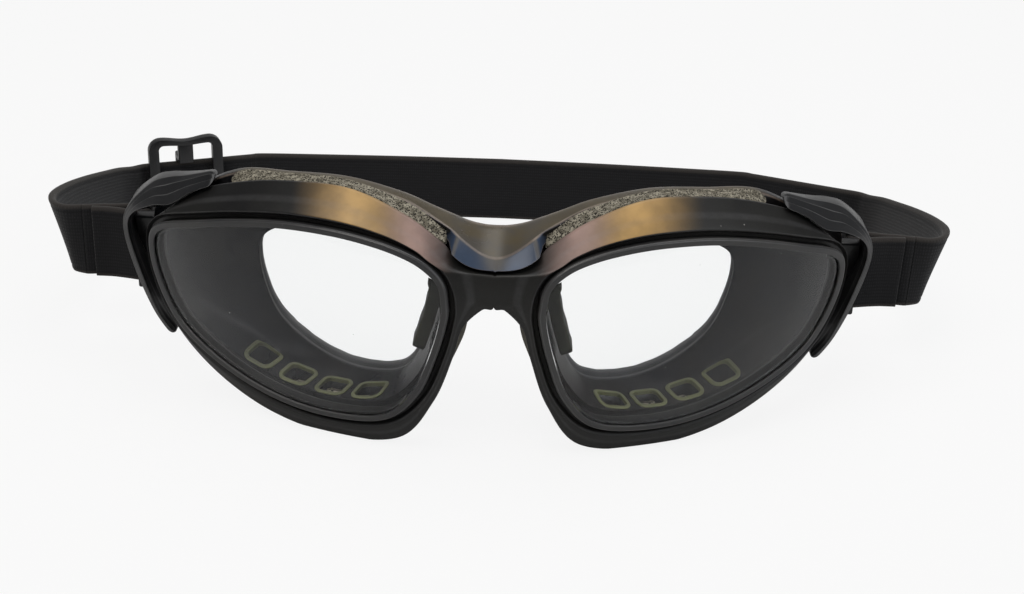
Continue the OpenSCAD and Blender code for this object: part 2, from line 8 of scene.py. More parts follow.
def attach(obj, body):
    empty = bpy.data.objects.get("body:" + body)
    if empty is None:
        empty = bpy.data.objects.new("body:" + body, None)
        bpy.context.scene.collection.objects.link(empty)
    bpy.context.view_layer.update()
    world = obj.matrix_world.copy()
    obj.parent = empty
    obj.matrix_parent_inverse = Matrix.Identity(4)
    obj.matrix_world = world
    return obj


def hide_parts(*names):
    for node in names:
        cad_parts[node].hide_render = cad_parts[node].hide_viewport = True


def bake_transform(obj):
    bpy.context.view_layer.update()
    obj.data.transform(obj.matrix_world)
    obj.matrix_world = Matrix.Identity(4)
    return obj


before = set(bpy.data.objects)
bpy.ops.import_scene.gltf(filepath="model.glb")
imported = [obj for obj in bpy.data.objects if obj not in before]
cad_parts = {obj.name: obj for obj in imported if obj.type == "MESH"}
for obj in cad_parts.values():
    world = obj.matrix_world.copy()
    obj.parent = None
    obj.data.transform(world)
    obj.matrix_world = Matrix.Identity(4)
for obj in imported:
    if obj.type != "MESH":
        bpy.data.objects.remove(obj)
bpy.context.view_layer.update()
scene = bpy.context.scene

# Camera
# It stands in front of and above the lenses, 300 mm away, and is turned a little
# anticlockwise. The aim is the middle of the front, and the shift is the framing's.
azimuth, elevation, roll = (math.radians(v) for v in (0.31, 27.0, -2.11))
sideways = Vector((math.cos(azimuth), math.sin(azimuth), 0))
backwards = Vector((math.sin(azimuth) * math.cos(elevation),
                    -math.cos(azimuth) * math.cos(elevation), math.sin(elevation)))
upwards = backwards.cross(sideways)
camera = bpy.data.objects.new("camera", bpy.data.cameras.new("camera"))
scene.collection.objects.link(camera)
scene.camera = camera
turned = Matrix((math.cos(roll) * sideways - math.sin(roll) * upwards,
                 math.sin(roll) * sideways + math.cos(roll) * upwards, backwards)).transposed()
AIM, AWAY = Vector((0, -0.0621048, 0.027)), 0.3
camera.matrix_world = Matrix.Translation(AIM + AWAY * backwards) @ turned.to_4x4()
camera.data.sensor_width = 36
camera.data.lens = 57.8
camera.data.shift_x, camera.data.shift_y = 0.0192, 0.0445
camera.data.clip_start, camera.data.clip_end = 0.01, 10

# Lens carriage
# One moulding of satin black nylon goes round both lenses. Its brow is the hood of
# the upper vents, and it slides back on four steel pins to close them.
ORIGIN = np.array([0, 62.1048, 0])       # the row frame's origin, from the front's foot, mm
WRAP, TILT, UPRIGHT = 95, 90, 27        # radii of the front, and the height where it is upright
STEPS = 14                              # samples between two points of an outline
LENS_AT, LENS_SIZE = np.array([8.4, 5.4]), np.array([60.6, 39.8])
LENS_SHAPE = [(0, 0.63), (0, 0.72), (0.01, 0.8), (0.043, 0.867), (0.109, 0.93),
              (0.216, 0.977), (0.356, 1), (0.521, 0.988), (0.686, 0.935), (0.835, 0.857),
              (0.955, 0.774), (1, 0.668), (0.98, 0.48), (0.901, 0.276), (0.752, 0.131),
              (0.563, 0.03), (0.373, 0), (0.191, 0.045), (0.086, 0.216), (0.03, 0.442)]
RIM_SHAPE = [(-2.7, -1.9, 1.6, 0), (-6.2, -1.6, 1.8, 0), (-9.6, -4, 1.8, 0), (-12, -0.7, 2, 0),
             (-6.4, 1, 4.2, 0.7), (-4, 4.5, 4.7, 1), (-1.5, 7.1, 4.7, 1), (0, 7, 4.7, 1),
             (0.5, 6.6, 4.7, 1), (1.5, 5, 4, 0.5), (1.3, 1.1, 2.2, 0), (1.2, 0.2, 1.6, 0),
             (1.4, -0.5, 1.6, 0), (2, -1.8, 1.5, 0), (2.2, -3.6, 1.4, 0), (1.5, -5.2, 1.4, 0),
             (-0.5, -5.9, 1.4, 0), (-2.5, -5.3, 1.4, 0), (-2.7, -2.2, 1.5, 0), (-2.8, -1, 1.6, 0)]
CARRIAGE_T, GROOVE_W, GROOVE_D, HOOD_T = 4.6, 0.9, 1.7, 0.9
LENS_FRONT, LENS_T, SEAT_GAP, RUN_GAP = 0.6, 2.2, 0.1, 0.4


def lerp(a, b, u):
    """The point at share u of the way from a to b."""
    return a + (b - a) * u


def spline(points, steps=STEPS, closed=True):
    """Catmull-Rom curve through the points, with that many samples between two of them."""
    p = np.asarray(points, float)
    if closed:
        a, b, c, d = np.roll(p, 1, 0), p, np.roll(p, -1, 0), np.roll(p, -2, 0)
    else:
        q = np.concatenate([p[:1], p, p[-1:]])
        a, b, c, d = q[:-3], q[1:-2], q[2:-1], q[3:]
    a, b, c, d = (v[:, None] for v in (a, b, c, d))
    u = (np.arange(steps) / steps)[None, :, None]
    line = (b + u * (c - a) / 2 + u ** 2 * (a - 2.5 * b + 2 * c - d / 2)
            + u ** 3 * (1.5 * (b - c) + (d - a) / 2)).reshape(-1, p.shape[1])
    return line if closed else np.concatenate([line, p[-1:]])


def length(v):
    """Length of each vector, kept as a column."""
    return np.linalg.norm(v, axis=-1, keepdims=True)


def grown(line, w):
    """The closed outline moved outwards by w, square to the line through its neighbours."""
    along = np.roll(line, -1, 0) - np.roll(line, 1, 0)
    along = along / length(along)
    return line + np.reshape(w, (-1, 1)) * np.stack([-along[:, 1], along[:, 0]], 1)


def front(p):
    """Depth of the curved front at x and z: the sum of two arcs, one seen from above and one
    seen from the side."""
    return (WRAP - np.sqrt(WRAP ** 2 - p[:, 0] ** 2)
            + TILT - np.sqrt(TILT ** 2 - (p[:, 1] - UPRIGHT) ** 2))


def slope(p):
    """Direction square to the front, into the cup, with a y part of 1."""
    x, z = p[:, 0], p[:, 1] - UPRIGHT
    return np.stack([-x / np.sqrt(WRAP ** 2 - x ** 2), np.ones(len(p)),
                     -z / np.sqrt(TILT ** 2 - z ** 2)], 1)


def deep(p, d):
    """Points at a depth d along y behind the front."""
    return np.stack([p[:, 0], front(p) + d, p[:, 1]], 1)


def skin(p, d):
    """Points at a depth d square to the front."""
    return deep(p, 0) + np.reshape(d, (-1, 1)) * slope(p) / length(slope(p))


def rounded(loops, radii, steps=5):
    """Section loops, as rows by stations by 3, with each corner turned into an arc: the two
    sides are cut at the radius, or at 0.46 of the shorter one, and a quadratic Bezier joins
    the cuts. Also how near each point is to the middle of its arc, 0 to 1."""
    p = np.stack(loops)
    before, after = np.roll(p, 1, 0) - p, np.roll(p, -1, 0) - p
    side_a, side_b = np.maximum(length(before), 1e-9), np.maximum(length(after), 1e-9)
    radii = np.array([np.broadcast_to(r, p.shape[1]) for r in radii])[..., None]
    cut = np.minimum(radii, 0.46 * np.minimum(side_a, side_b))
    a, b = p + before / side_a * cut, p + after / side_b * cut
    u = np.linspace(0, 1, steps + 1)[:, None, None, None]
    arcs = (1 - u) ** 2 * a + 2 * u * (1 - u) * p + u ** 2 * b
    near = np.sin(np.pi * np.broadcast_to(u, arcs.shape)[..., 0])
    rows = len(loops) * (steps + 1)
    return (arcs.transpose(1, 0, 2, 3).reshape(rows, -1, 3),
            near.transpose(1, 0, 2).reshape(rows, -1))


def quads(rows, columns, wrap_rows=True, wrap_columns=True):
    """Faces of a grid of points, as rows of four numbers."""
    a, i = np.meshgrid(np.arange(rows - (not wrap_rows)), np.arange(columns - (not wrap_columns)),
                       indexing="ij")
    b, j = (a + 1) % rows, (i + 1) % columns
    return np.stack([a * columns + i, b * columns + i, b * columns + j, a * columns + j],
                    -1).reshape(-1, 4)


def piece(name, points, faces, caps=(), side=1, edge=None, uv=None):
    """A mesh from points in mm, taken to the row frame in metres. With side -1 it is mirrored
    at the nose plane. Faces are turned round where the volume that they enclose is negative.
    The edge attribute says where an edge is paler, by wear and a painted highlight, or where foam
    has painted shade, and uv is kept as the piece's UV map."""
    points = points * [side, 1, 1] - ORIGIN
    tris = np.concatenate([faces[:, [0, 1, 2]], faces[:, [0, 2, 3]]])
    p, q, r = (points[tris[:, k]] for k in range(3))
    if (np.cross(p, q) * r).sum() < 0:
        faces, caps = faces[:, ::-1], [cap[::-1] for cap in caps]
    mesh = bpy.data.meshes.new(name)
    mesh.from_pydata((points / 1000).tolist(), [], faces.tolist() + [list(c) for c in caps])
    if edge is not None:
        mesh.attributes.new("edge", "FLOAT", "POINT").data.foreach_set(
            "value", np.ravel(edge).astype(np.float32))
    if uv is not None:
        corner = np.empty(len(mesh.loops), np.int32)
        mesh.loops.foreach_get("vertex_index", corner)
        mesh.uv_layers.new(name="UVMap").data.foreach_set(
            "uv", np.reshape(uv, (-1, 2))[corner].astype(np.float32).ravel())
    mesh.shade_smooth()
    made = bpy.data.objects.new(name, mesh)
    scene.collection.objects.link(made)
    return made


def both_eyes(name, grid, edge):
    """The closed grid of the right eye and its mirror image as one mesh: points in the nose
    plane are shared, and faces that lie in that plane are left out."""
    points = grid.reshape(-1, 3).copy()
    middle = points[:, 0] < 1e-4
    points[middle, 0] = 0
    faces = quads(*grid.shape[:2])
    faces = faces[~middle[faces].all(1)]
    twin = np.where(middle, np.arange(len(points)), np.arange(len(points)) + len(points))
    used, faces = np.unique(np.concatenate([faces, twin[faces][:, ::-1]]), return_inverse=True)
    return piece(name, np.concatenate([points, points * [-1, 1, 1]])[used],
                 faces.reshape(-1, 4), edge=np.tile(edge.ravel(), 2)[used])


lens_line = spline(LENS_AT + np.array(LENS_SHAPE) * LENS_SIZE)
rim_data = np.array(RIM_SHAPE)
rim_data[:, :2] += LENS_AT + np.array(LENS_SHAPE) * LENS_SIZE
rim_data[:, 0] = np.maximum(rim_data[:, 0], 0)
rim_data = spline(rim_data)
rim_line = np.maximum(rim_data[:, :2], 0)
rim_depth, hood = rim_data[:, 2], np.clip(rim_data[:, 3], 0, 1)
station = np.arange(len(lens_line)) / STEPS     # each sample's place, counted in outline points
DIP_Z, DIP_RISE, DIP_W = 39.4, 4.6, 9.6        # the brow's crest over the nose: a round-bottomed V
over_nose = (station >= 3) & (station <= 4.3)
rim_line[over_nose, 1] = np.minimum(rim_line[over_nose, 1],
                                    DIP_Z + DIP_RISE * (rim_line[over_nose, 0] / DIP_W) ** 3)


def outward(w, most=0.85):
    """Points at a distance w from the lens outline towards the carriage's edge, but at no more
    than that share of the way."""
    return lerp(lens_line, rim_line, np.minimum(w / length(rim_line - lens_line), most))


crest = outward(GROOVE_W + 0.5)
swell = lerp(crest, rim_line, 0.45)
back = LENS_FRONT + LENS_T + SEAT_GAP
open_edge = np.clip(rim_line[:, 0] / 1.5, 0, 1)
brow = lerp(lens_line, rim_line, 0.62)
brow_depth = lerp(CARRIAGE_T, lerp(0.6, rim_depth, 0.5) + HOOD_T, hood)
lip = grown(lens_line, -1.1)
wall = grown(lens_line, 0.15)
grid, edge = rounded(
    [skin(lip, back), skin(wall, back), skin(wall, GROOVE_D + 0.2),
     skin(outward(GROOVE_W), GROOVE_D), skin(crest, 0.6), skin(swell, lerp(0.6, rim_depth, 0.42)),
     skin(rim_line, rim_depth), skin(rim_line, lerp(CARRIAGE_T, rim_depth + HOOD_T, hood)),
     skin(brow, brow_depth), skin(outward(GROOVE_W + 0.3, 0.5), CARRIAGE_T),
     skin(lip, CARRIAGE_T)],
    [0.1, 0.1, 0.15, 0.3, 0.9, 9, 0.45 * open_edge, 0.3 * open_edge, 3, 0.4, 0.3])
carriage = both_eyes("carriage_shell", grid, edge)


def plugged(tree, node, sockets):
    """The node, with its sockets' values or the outputs that feed them."""
    for name, value in sockets.items():
        if isinstance(value, bpy.types.NodeSocket):
            tree.links.new(value, node.inputs[name])
        else:
            node.inputs[name].default_value = value
    return node


def add(tree, kind, sockets=None, **settings):
    """A new node with its settings and its sockets."""
    made = tree.nodes.new("ShaderNode" + kind)
    for name, value in settings.items():
        setattr(made, name, value)
    return plugged(tree, made, sockets or {})


def mixed(tree, factor, a, b):
    """Output of a colour mix of a and b."""
    return add(tree, "Mix", {0: factor, 6: a, 7: b}, data_type="RGBA").outputs[2]


def ramp(tree, value, low, high, to_low=0.0, to_high=1.0):
    """Output of a smooth step from one value to another while the input goes from low to high."""
    return add(tree, "MapRange", {0: value, 1: low, 2: high, 3: to_low, 4: to_high},
               interpolation_type="SMOOTHSTEP").outputs[0]


def times(tree, a, b, plus=0.0):
    """Output of a * b + plus."""
    return add(tree, "Math", {0: a, 1: b, 2: plus}, operation="MULTIPLY_ADD").outputs[0]


def noise(tree, vector, scale, detail=2.0, rough=0.5, warp=0.0):
    """Output of a noise texture, 0 to 1."""
    return add(tree, "TexNoise", {"Vector": vector, "Scale": scale, "Detail": detail,
                                  "Roughness": rough, "Distortion": warp}).outputs[0]


def bumped(tree, height, strength, distance):
    """Output of a bump from a height."""
    return add(tree, "Bump", {"Strength": strength, "Distance": distance,
                              "Height": height}).outputs[0]


def at_edges(tree):
    """Output of the mesh's edge attribute."""
    return add(tree, "Attribute", attribute_name="edge").outputs["Fac"]


def either(tree, factor, a, b, output="Material Output"):
    """Links a mix of two shaders to the tree's output."""
    both = add(tree, "MixShader", {0: factor, 1: a.outputs[0], 2: b.outputs[0]})
    tree.links.new(both.outputs[0], tree.nodes[output].inputs["Surface"])


def material(name):
    """A new material, its node tree, its shader, and the place of a point on the object."""
    made = bpy.data.materials.new(name)
    made.use_nodes = True
    tree = made.node_tree
    return (made, tree, tree.nodes["Principled BSDF"],
            add(tree, "TexCoord").outputs["Object"])


def group(name, vectors, values, outputs):
    """An empty shader node group, with its input node and its output node. The outputs are
    values."""
    tree = bpy.data.node_groups.new(name, "ShaderNodeTree")
    for labels, way, kind in ((vectors, "INPUT", "Vector"), (values, "INPUT", "Float"),
                              (outputs, "OUTPUT", "Float")):
        for label in labels:
            tree.interface.new_socket(label, in_out=way, socket_type="NodeSocket" + kind)
    return tree, tree.nodes.new("NodeGroupInput"), tree.nodes.new("NodeGroupOutput")


# Grain of moulded plastic: fine pits for the bump and slow cloudy change for the sheen
grain, into, out = group("moulded_grain", ["Vector"], ["Scale"], ["Height", "Cloud", "Speck"])
place, scale = into.outputs[:2]
speck = add(grain, "TexVoronoi", {"Vector": place, "Scale": 2600.0}).outputs["Distance"]
plugged(grain, out, {0: noise(grain, place, scale, 3.0, 0.6),
                     1: ramp(grain, noise(grain, place, 55.0, 4.0, 0.55), 0.3, 0.7),
                     2: ramp(grain, speck, 0.18, 0.02)})

# Wear and painted highlight: edges made paler all along and more in patches, partly as rubbing and
# partly as a painted highlight, a few scratches, and dust that has settled
wear_and_highlight, into, out = group("handling_wear_and_edge_highlight", ["Vector"], ["Edge"], ["Rubbed", "Dust", "Scratch"])
place, edge_nearness = into.outputs[:2]
mote = add(wear_and_highlight, "TexVoronoi", {"Vector": place, "Scale": 420.0}).outputs["Distance"]
stretched = add(wear_and_highlight, "Mapping", {0: place, 2: (0.3, 0.5, 0.7), 3: (1, 14, 9)}).outputs[0]
plugged(wear_and_highlight, out, {
    0: times(wear_and_highlight, ramp(wear_and_highlight, noise(wear_and_highlight, place, 260.0, 6.0, 0.7), 0.3, 0.75, 0.4, 1.0),
             ramp(wear_and_highlight, edge_nearness, 0.45, 1.0)),
    1: times(wear_and_highlight, ramp(wear_and_highlight, mote, 0.07, 0.03), ramp(wear_and_highlight, noise(wear_and_highlight, place, 140.0), 0.55, 0.68)),
    2: ramp(wear_and_highlight, noise(wear_and_highlight, stretched, 240.0), 0.7, 0.74)})

# Painted highlights and reflections in tints on the upper side, each in its own span of the
# distance from the nose plane and of how far a surface faces up
highlight_tints, into, out = group("painted_highlight_tints", ["Vector", "Normal"], [],
                        ["Gold", "Rose", "Steel", "Bronze"])
place, facing = (add(highlight_tints, "SeparateXYZ", {0: socket}).outputs for socket in into.outputs[:2])
off_nose = add(highlight_tints, "Math", {0: place[0]}, operation="ABSOLUTE").outputs[0]
high = times(highlight_tints, ramp(highlight_tints, place[2], 0.034, 0.04),
             ramp(highlight_tints, noise(highlight_tints, into.outputs[0], 240.0, 5.0), 0.3, 0.7, 0.72, 1.0))
for number, (near, far, soft, low, full) in enumerate((
        (0.021, 0.030, 0.0085, 0.1, 0.6), (0.012, 0.018, 0.005, 0.1, 0.6),
        (-0.01, 0.009, 0.003, 0.02, 0.3), (-0.01, 0.05, 0.003, 0.72, 0.92))):
    span = times(highlight_tints, ramp(highlight_tints, off_nose, near - soft, near + soft),
                 ramp(highlight_tints, off_nose, far + soft, far - soft))
    turned_up = times(highlight_tints, high, ramp(highlight_tints, facing[2], low, full))
    plugged(highlight_tints, out, {number: times(highlight_tints, span, turned_up)})


def plastic(name, colour, other, rough, metal=0.0, grain_scale=5000.0, edge_tint=(0.25, 0.25, 0.26),
            edge_wear_and_highlight=0.5, coat=0.0, specular=0.5, bump=0.4, flake=0.0, painted_tints=()):
    """Moulded plastic: two shades that pass into each other in clouds, a fine grain in the bump,
    edges made paler, partly as wear and partly as a painted highlight, and a little dust. The
    painted tints name outputs of the group of painted highlights and reflections, each with its
    colour."""
    made, tree, bsdf, place = material(name)
    pits = add(tree, "Group", {"Vector": place, "Scale": grain_scale}, node_tree=grain).outputs
    used = add(tree, "Group", {"Vector": place, "Edge": at_edges(tree)}, node_tree=wear_and_highlight).outputs
    body = mixed(tree, pits["Cloud"], (*colour, 1), (*other, 1))
    if flake:
        body = mixed(tree, times(tree, pits["Speck"], flake), body, (*edge_tint, 1))
    # Tints of painted highlight and reflection, by position and by how far the surface faces up
    if painted_tints:
        turned_to = add(tree, "NewGeometry").outputs["Normal"]
        painted_outputs = add(tree, "Group", {"Vector": place, "Normal": turned_to}, node_tree=highlight_tints).outputs
        for label, tint in painted_tints:
            body = mixed(tree, painted_outputs[label], body, (*tint, 1))
    # Edges made paler: partly rubbed wear, partly a painted highlight
    body = mixed(tree, times(tree, used["Rubbed"], edge_wear_and_highlight), body, (*edge_tint, 1))
    dull = ramp(tree, pits["Cloud"], 0.0, 1.0, rough - 0.04, rough + 0.05)
    plugged(tree, bsdf, {
        "Base Color": mixed(tree, times(tree, used["Dust"], 0.6), body, (0.5, 0.48, 0.45, 1)),
        "Roughness": times(tree, used["Scratch"], 0.12, dull),
        "Metallic": metal, "Coat Weight": coat, "Specular IOR Level": specular,
        "Normal": bumped(tree, pits["Height"], bump, 0.00002)})
    return made


# Its gold and rose tints on the upward-facing brow are painted highlights of warm lamps.
satin_black = plastic("satin_black_nylon", (0.009, 0.009, 0.0095), (0.014, 0.0135, 0.012), 0.4,
                      edge_wear_and_highlight=0.1, flake=0.12, specular=0.35,
                      painted_tints=(("Gold", (0.68, 0.42, 0.15)), ("Rose", (0.42, 0.28, 0.24))))


def finish(made, material, body, slot, *nodes):
    """Gives the piece its material and its body, and hides the CAD nodes that it stands for. The
    slot is not used."""
    made.data.materials.clear()
    made.data.materials.append(material)
    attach(made, body)
    if nodes:
        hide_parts(*nodes)
    return made


finish(carriage, satin_black, "carriage", "carriage", "lens_carriage")

# Lens rims
# A ring of grey satin nylon goes round each lens. It sits in the carriage's dark groove, and
# its lip holds the lens there.
LIP_W = 1.3
SIDES = (("left", -1), ("right", 1))            # each side's name and its sign along x
rim_satin = plastic("grey_rim_satin", (0.026, 0.026, 0.028), (0.04, 0.039, 0.038), 0.34,
                    edge_tint=(0.2, 0.2, 0.2), edge_wear_and_highlight=0.25)
deepest = LENS_T + 0.55


def tube(name, grid, side, edge=None):
    """A tube from a grid of points in mm that closes on itself both ways."""
    return piece(name, grid.reshape(-1, 3), quads(*grid.shape[:2]), side=side, edge=edge)


grid, edge = rounded(
    [skin(grown(lens_line, w), d) for w, d in (
        (-LIP_W, 0.15), (-0.3, 0), (0.05, 0.35), (0.05, deepest), (-0.5, deepest), (-0.5, 0.55),
        (-LIP_W, 0.55))],
    [0.15, 0.45, 0.3, 0.1, 0.1, 0.05, 0.1])
for name, side in SIDES:
    finish(tube("rim_ring_" + name, grid, side, edge), rim_satin, "carriage", "rim",
           "lens_rim_" + name)

# Lenses
# Each is a clear polycarbonate shell of even thickness on the front's curve, with faint
# wiping marks and a few motes of dust.
clear, tree, bsdf, place = material("clear_polycarbonate")
used = add(tree, "Group", {"Vector": place}, node_tree=wear_and_highlight).outputs
wiped = ramp(tree, noise(tree, place, 60.0, 5.0, warp=1.2), 0.45, 0.75, 0.01, 0.05)
plugged(tree, bsdf, {
    "Base Color": (0.97, 0.98, 0.98, 1), "Transmission Weight": 1.0, "IOR": 1.585,
    "Specular Tint": (0.35, 0.35, 0.36, 1),
    "Roughness": times(tree, used["Dust"], 0.5, wiped)})
through = add(tree, "BsdfTransparent", {"Color": (0.93, 0.94, 0.95, 1)})
lamp_ray = add(tree, "LightPath").outputs["Is Shadow Ray"]
either(tree, lamp_ray, bsdf, through)

pane = grown(lens_line, -0.55)
middle = LENS_AT + LENS_SIZE * [0.48, 0.5]
face = [lerp(middle, pane, u) for u in np.linspace(0.04, 1, 26)]
sheet = np.concatenate([np.stack([skin(p, LENS_FRONT) for p in face]),
                        np.stack([skin(p, LENS_FRONT + LENS_T) for p in face[::-1]])])
rows, n = sheet.shape[:2]
hub = skin(middle[None], LENS_FRONT), skin(middle[None], LENS_FRONT + LENS_T)
ring = np.arange(n)
fans = [(rows * n, i, j) for i, j in zip(ring, np.roll(ring, -1))]
fans += [(rows * n + 1, (rows - 1) * n + j, (rows - 1) * n + i)
         for i, j in zip(ring, np.roll(ring, -1))]
for name, side in SIDES:
    lens = piece("clear_lens_" + name, np.concatenate([sheet.reshape(-1, 3), *hub]),
                 quads(rows, n, wrap_rows=False), fans, side)
    finish(lens, clear, "carriage", "lens", "lens_" + name)

# Main frame
# The glossy moulding behind the carriage: a ridge over the brows that meets in a V over the
# nose, a top deck, and a cup round each eye with four windows in its lower wall.
TRAVEL, BAND_D, BAND_RIDGE_D, DECK_D, CUP_D, CUP_MID_D = 3, 2.2, 4.6, 14, 20, 15.5
EYE_SIZE, EYE_IN, EYE_LOW, SEAT_W = np.array([35.7, 33.5]), 2.6, 2, 4
RIDGE_SHAPE = [(0.3, -0.3), (0.3, -0.3), (0.3, -0.3), (3.2, 1.6), (2, 0.6), (0, 0.1),
               (-1.7, -0.3), (-2.3, -0.1), (-1.6, -0.2), (-2.6, -0.4), (-1.6, -0.3), (-1.2, -0.3),
               (-1.2, -0.3), (-1, -0.3), (0, -0.3), (0, -0.3), (0, -0.3), (0, -0.3), (0, -0.3),
               (0.2, -0.3)]
# Its steel-blue tint near the nose and its bronze tint on up-facing faces are painted reflections.
gunmetal = plastic("gunmetal_gloss", (0.006, 0.007, 0.010), (0.012, 0.010, 0.009), 0.3,
                   metal=0.1, grain_scale=3800.0, edge_tint=(0.3, 0.24, 0.2), edge_wear_and_highlight=0.6,
                   flake=0.12, bump=0.05,
                   painted_tints=(("Steel", (0.035, 0.058, 0.105)), ("Bronze", (0.085, 0.068, 0.04))))
tree = gunmetal.node_tree
plugged(tree, tree.nodes["Principled BSDF"],
        {"Specular IOR Level": ramp(tree, at_edges(tree), 0.0, -0.9, 0.4, 0.06)})


def smooth(u):
    """A share of 0 to 1 with its start and its end made soft."""
    return u * u * (3 - 2 * u)


eye_line = LENS_AT + [EYE_IN, EYE_LOW] + (lens_line - LENS_AT) * EYE_SIZE / LENS_SIZE
ridge_data = spline(RIDGE_SHAPE)
ridge_line = grown(rim_line, ridge_data[:, 0])
at_nose = rim_line[:, 0] <= 0
ridge_line[at_nose] = rim_line[at_nose] + ridge_data[at_nose, :1] * [0, 1]
ridge_line = np.maximum(ridge_line, 0)
# The ridge's V: the height of its foot, its last station and its slope there
VEE_Z, VEE_END, VEE_SLOPE = 41.3, 4.2, 0.39
last = int(VEE_END * STEPS)
u = np.linspace(0, 1, last - 3 * STEPS + 1)
foot_z = ridge_line[3 * STEPS, 1]
vee_x, vee_z = ridge_line[last]
ridge_line[3 * STEPS:last + 1] = np.column_stack([
    u * vee_x, lerp(VEE_Z, vee_z, smooth(u)) + u * u * (u - 1) * vee_x * VEE_SLOPE])
climb = np.clip((station - 2.2) / 0.8, 0, 1)[:3 * STEPS]
ridge_line[:3 * STEPS, 1] += (VEE_Z - foot_z) * smooth(climb)


def slanted(p, d):
    """Depth along y of a surface that lies at a depth d square to the front."""
    return d * length(slope(p))[:, 0]


def frame_front(p):
    """Depth of the cup's front edge: clear of the closed carriage."""
    return slanted(p, CARRIAGE_T) + TRAVEL + 1.5 * RUN_GAP


def eased(places, shares):
    """A share of 0 to 1 along the outline, with soft steps between the given stations."""
    return smooth(np.interp(station, places, shares))


band, band_top = eased([2.5, 3, 3.92, 4.07], [0, 1, 1, 0]), eased([2.5, 3, 3.3, 5], [0, 1, 1, 0])
under = np.interp(station, [1.5, 2, 4, 4.5], [0, 1, 1, 0])[:, None]
lifted = rim_line + np.interp(station, [2, 2.5], [0, RUN_GAP])[:, None] * [0, 1]
hood_back = np.maximum(CARRIAGE_T, lerp(CARRIAGE_T, rim_depth + HOOD_T, hood))
ridge_depth = TRAVEL + 2 * RUN_GAP + slanted(rim_line, hood_back)
foot = np.clip((8 - rim_line[:, 1]) / 4, 0, 1)
saddle = 1.2 * np.exp(-(ridge_line[:, 0] / 5) ** 2) * eased([2.2, 3, 6, 6.5], [0, 1, 1, 0])
deck = np.stack([ridge_line[:, 0],
                 (ridge_line[:, 1] + ridge_data[:, 1] + saddle) * (1 - foot)], 1)
seat = grown(eye_line, SEAT_W)
seat[:, 0] = np.maximum(seat[:, 0], 2)
inner = grown(lens_line, -0.8)
root = lerp(outward(1.5), lifted, under)
side_wall = lerp(outward(1.7), lifted, under)
wall_depth = lerp(ridge_depth, BAND_D, band)
off_nose = np.clip(ridge_line[:, 0] / 1.5, 0, 1)
grid, edge = rounded(
    [deep(inner, frame_front(inner)), deep(root, frame_front(root)), deep(side_wall, wall_depth),
     deep(ridge_line, lerp(ridge_depth, BAND_RIDGE_D, band_top)), deep(deck, DECK_D),
     deep(seat, CUP_D), deep(eye_line, CUP_D), deep(lerp(inner, eye_line, 0.35), CUP_MID_D)],
    [0.2, 0.15, 0.3 * np.maximum(off_nose, band), 0.7, 2.5, 0.5, 0.5, 3])
PER_CORNER = 6                                  # rows of the grid to a corner
grid[3 * PER_CORNER:5 * PER_CORNER, ridge_line[:, 0] == 0, 0] = 0
# The cup's inside also gets none of the paler edges of wear and painted highlight.
edge[5 * PER_CORNER:] = edge[:PER_CORNER] = -1  # the cup's inside is matt, and nothing rubs it
shell = both_eyes("frame_shell", grid, edge)
finish(shell, gunmetal, "frame", "frame", "main_frame")

# Vent windows
# Four openings with round corners go through each cup's lower wall. A thin liner stands
# round each on the inside, and a plug of foam fills it.
WINDOW_W, WINDOW_D, WINDOW_Y, WINDOW_PITCH, WINDOW_MID = 5, 4.8, 12, 7.3, 34.579
WINDOW_LEAN = 0.5                               # how far its far side is moved to the nose
windows_x = WINDOW_MID + (np.arange(4) - 1.5) * WINDOW_PITCH


def corners(w, h, r, count, first=0):
    """The round corners of a rectangle, anticlockwise: quarter circles of radius r. Number 0 is
    the upper one on the right."""
    turn, made = np.linspace(0, math.pi / 2, count), []
    for start in np.arange(first, first + 4) * math.pi / 2:
        sx, sy = np.sign([math.cos(start + 0.1), math.sin(start + 0.1)])
        made.append(np.stack([sx * (w / 2 - r) + r * np.cos(turn + start),
                              sy * (h / 2 - r) + r * np.sin(turn + start)], 1))
    return made


def window_outline(x, w, d, r, count=8):
    """A parallelogram with round corners, turned to the cup's wall at x."""
    p = np.concatenate(corners(w, d, r, count, -1))
    p[:, 0] -= WINDOW_LEAN * p[:, 1] / d
    turned = math.atan(x / WRAP)
    at = np.array([x, front(np.array([[x, LENS_AT[1]]]))[0] + WINDOW_Y])
    c, s = math.cos(turned), math.sin(turned)
    return at + p @ np.array([[c, s], [-s, c]])


def at_height(p, z):
    """The points with a height as their last column."""
    return np.column_stack([p, np.broadcast_to(z, len(p))])


def prism(outline, low, high, r=0.0):
    """Loops of an upright prism between two heights, its outline drawn in by r at both ends."""
    heights = [(low, -r), (low + r, 0), (high - r, 0), (high, -r)] if r else [(low, 0), (high, 0)]
    return np.stack([at_height(grown(outline, -inset), z) for z, inset in heights])


def plug(name, stack, side=1, **more):
    """A stack of equal loops closed by a flat face at each end."""
    rows, n = stack.shape[:2]
    return piece(name, stack.reshape(-1, 3), quads(rows, n, wrap_rows=False),
                 [np.arange(n), ((rows - 1) * n + np.arange(n))[::-1]], side, **more)


def cut(target, cutters):
    """Takes the cutters out of the target's mesh and removes them."""
    for cutter in cutters:
        tool = target.modifiers.new("cut", "BOOLEAN")
        tool.operation, tool.solver, tool.object = "DIFFERENCE", "MANIFOLD", cutter
    graph = bpy.context.evaluated_depsgraph_get()
    mesh = bpy.data.meshes.new_from_object(target.evaluated_get(graph), depsgraph=graph)
    target.modifiers.clear()
    target.data = mesh
    for cutter in cutters:
        bpy.data.objects.remove(cutter)


through_wall = [prism(window_outline(x, WINDOW_W, WINDOW_D, 1.2), -2, 20) for x in windows_x]
cut(shell, [plug("window_cutter", stack, side) for stack in through_wall for side in (1, -1)])

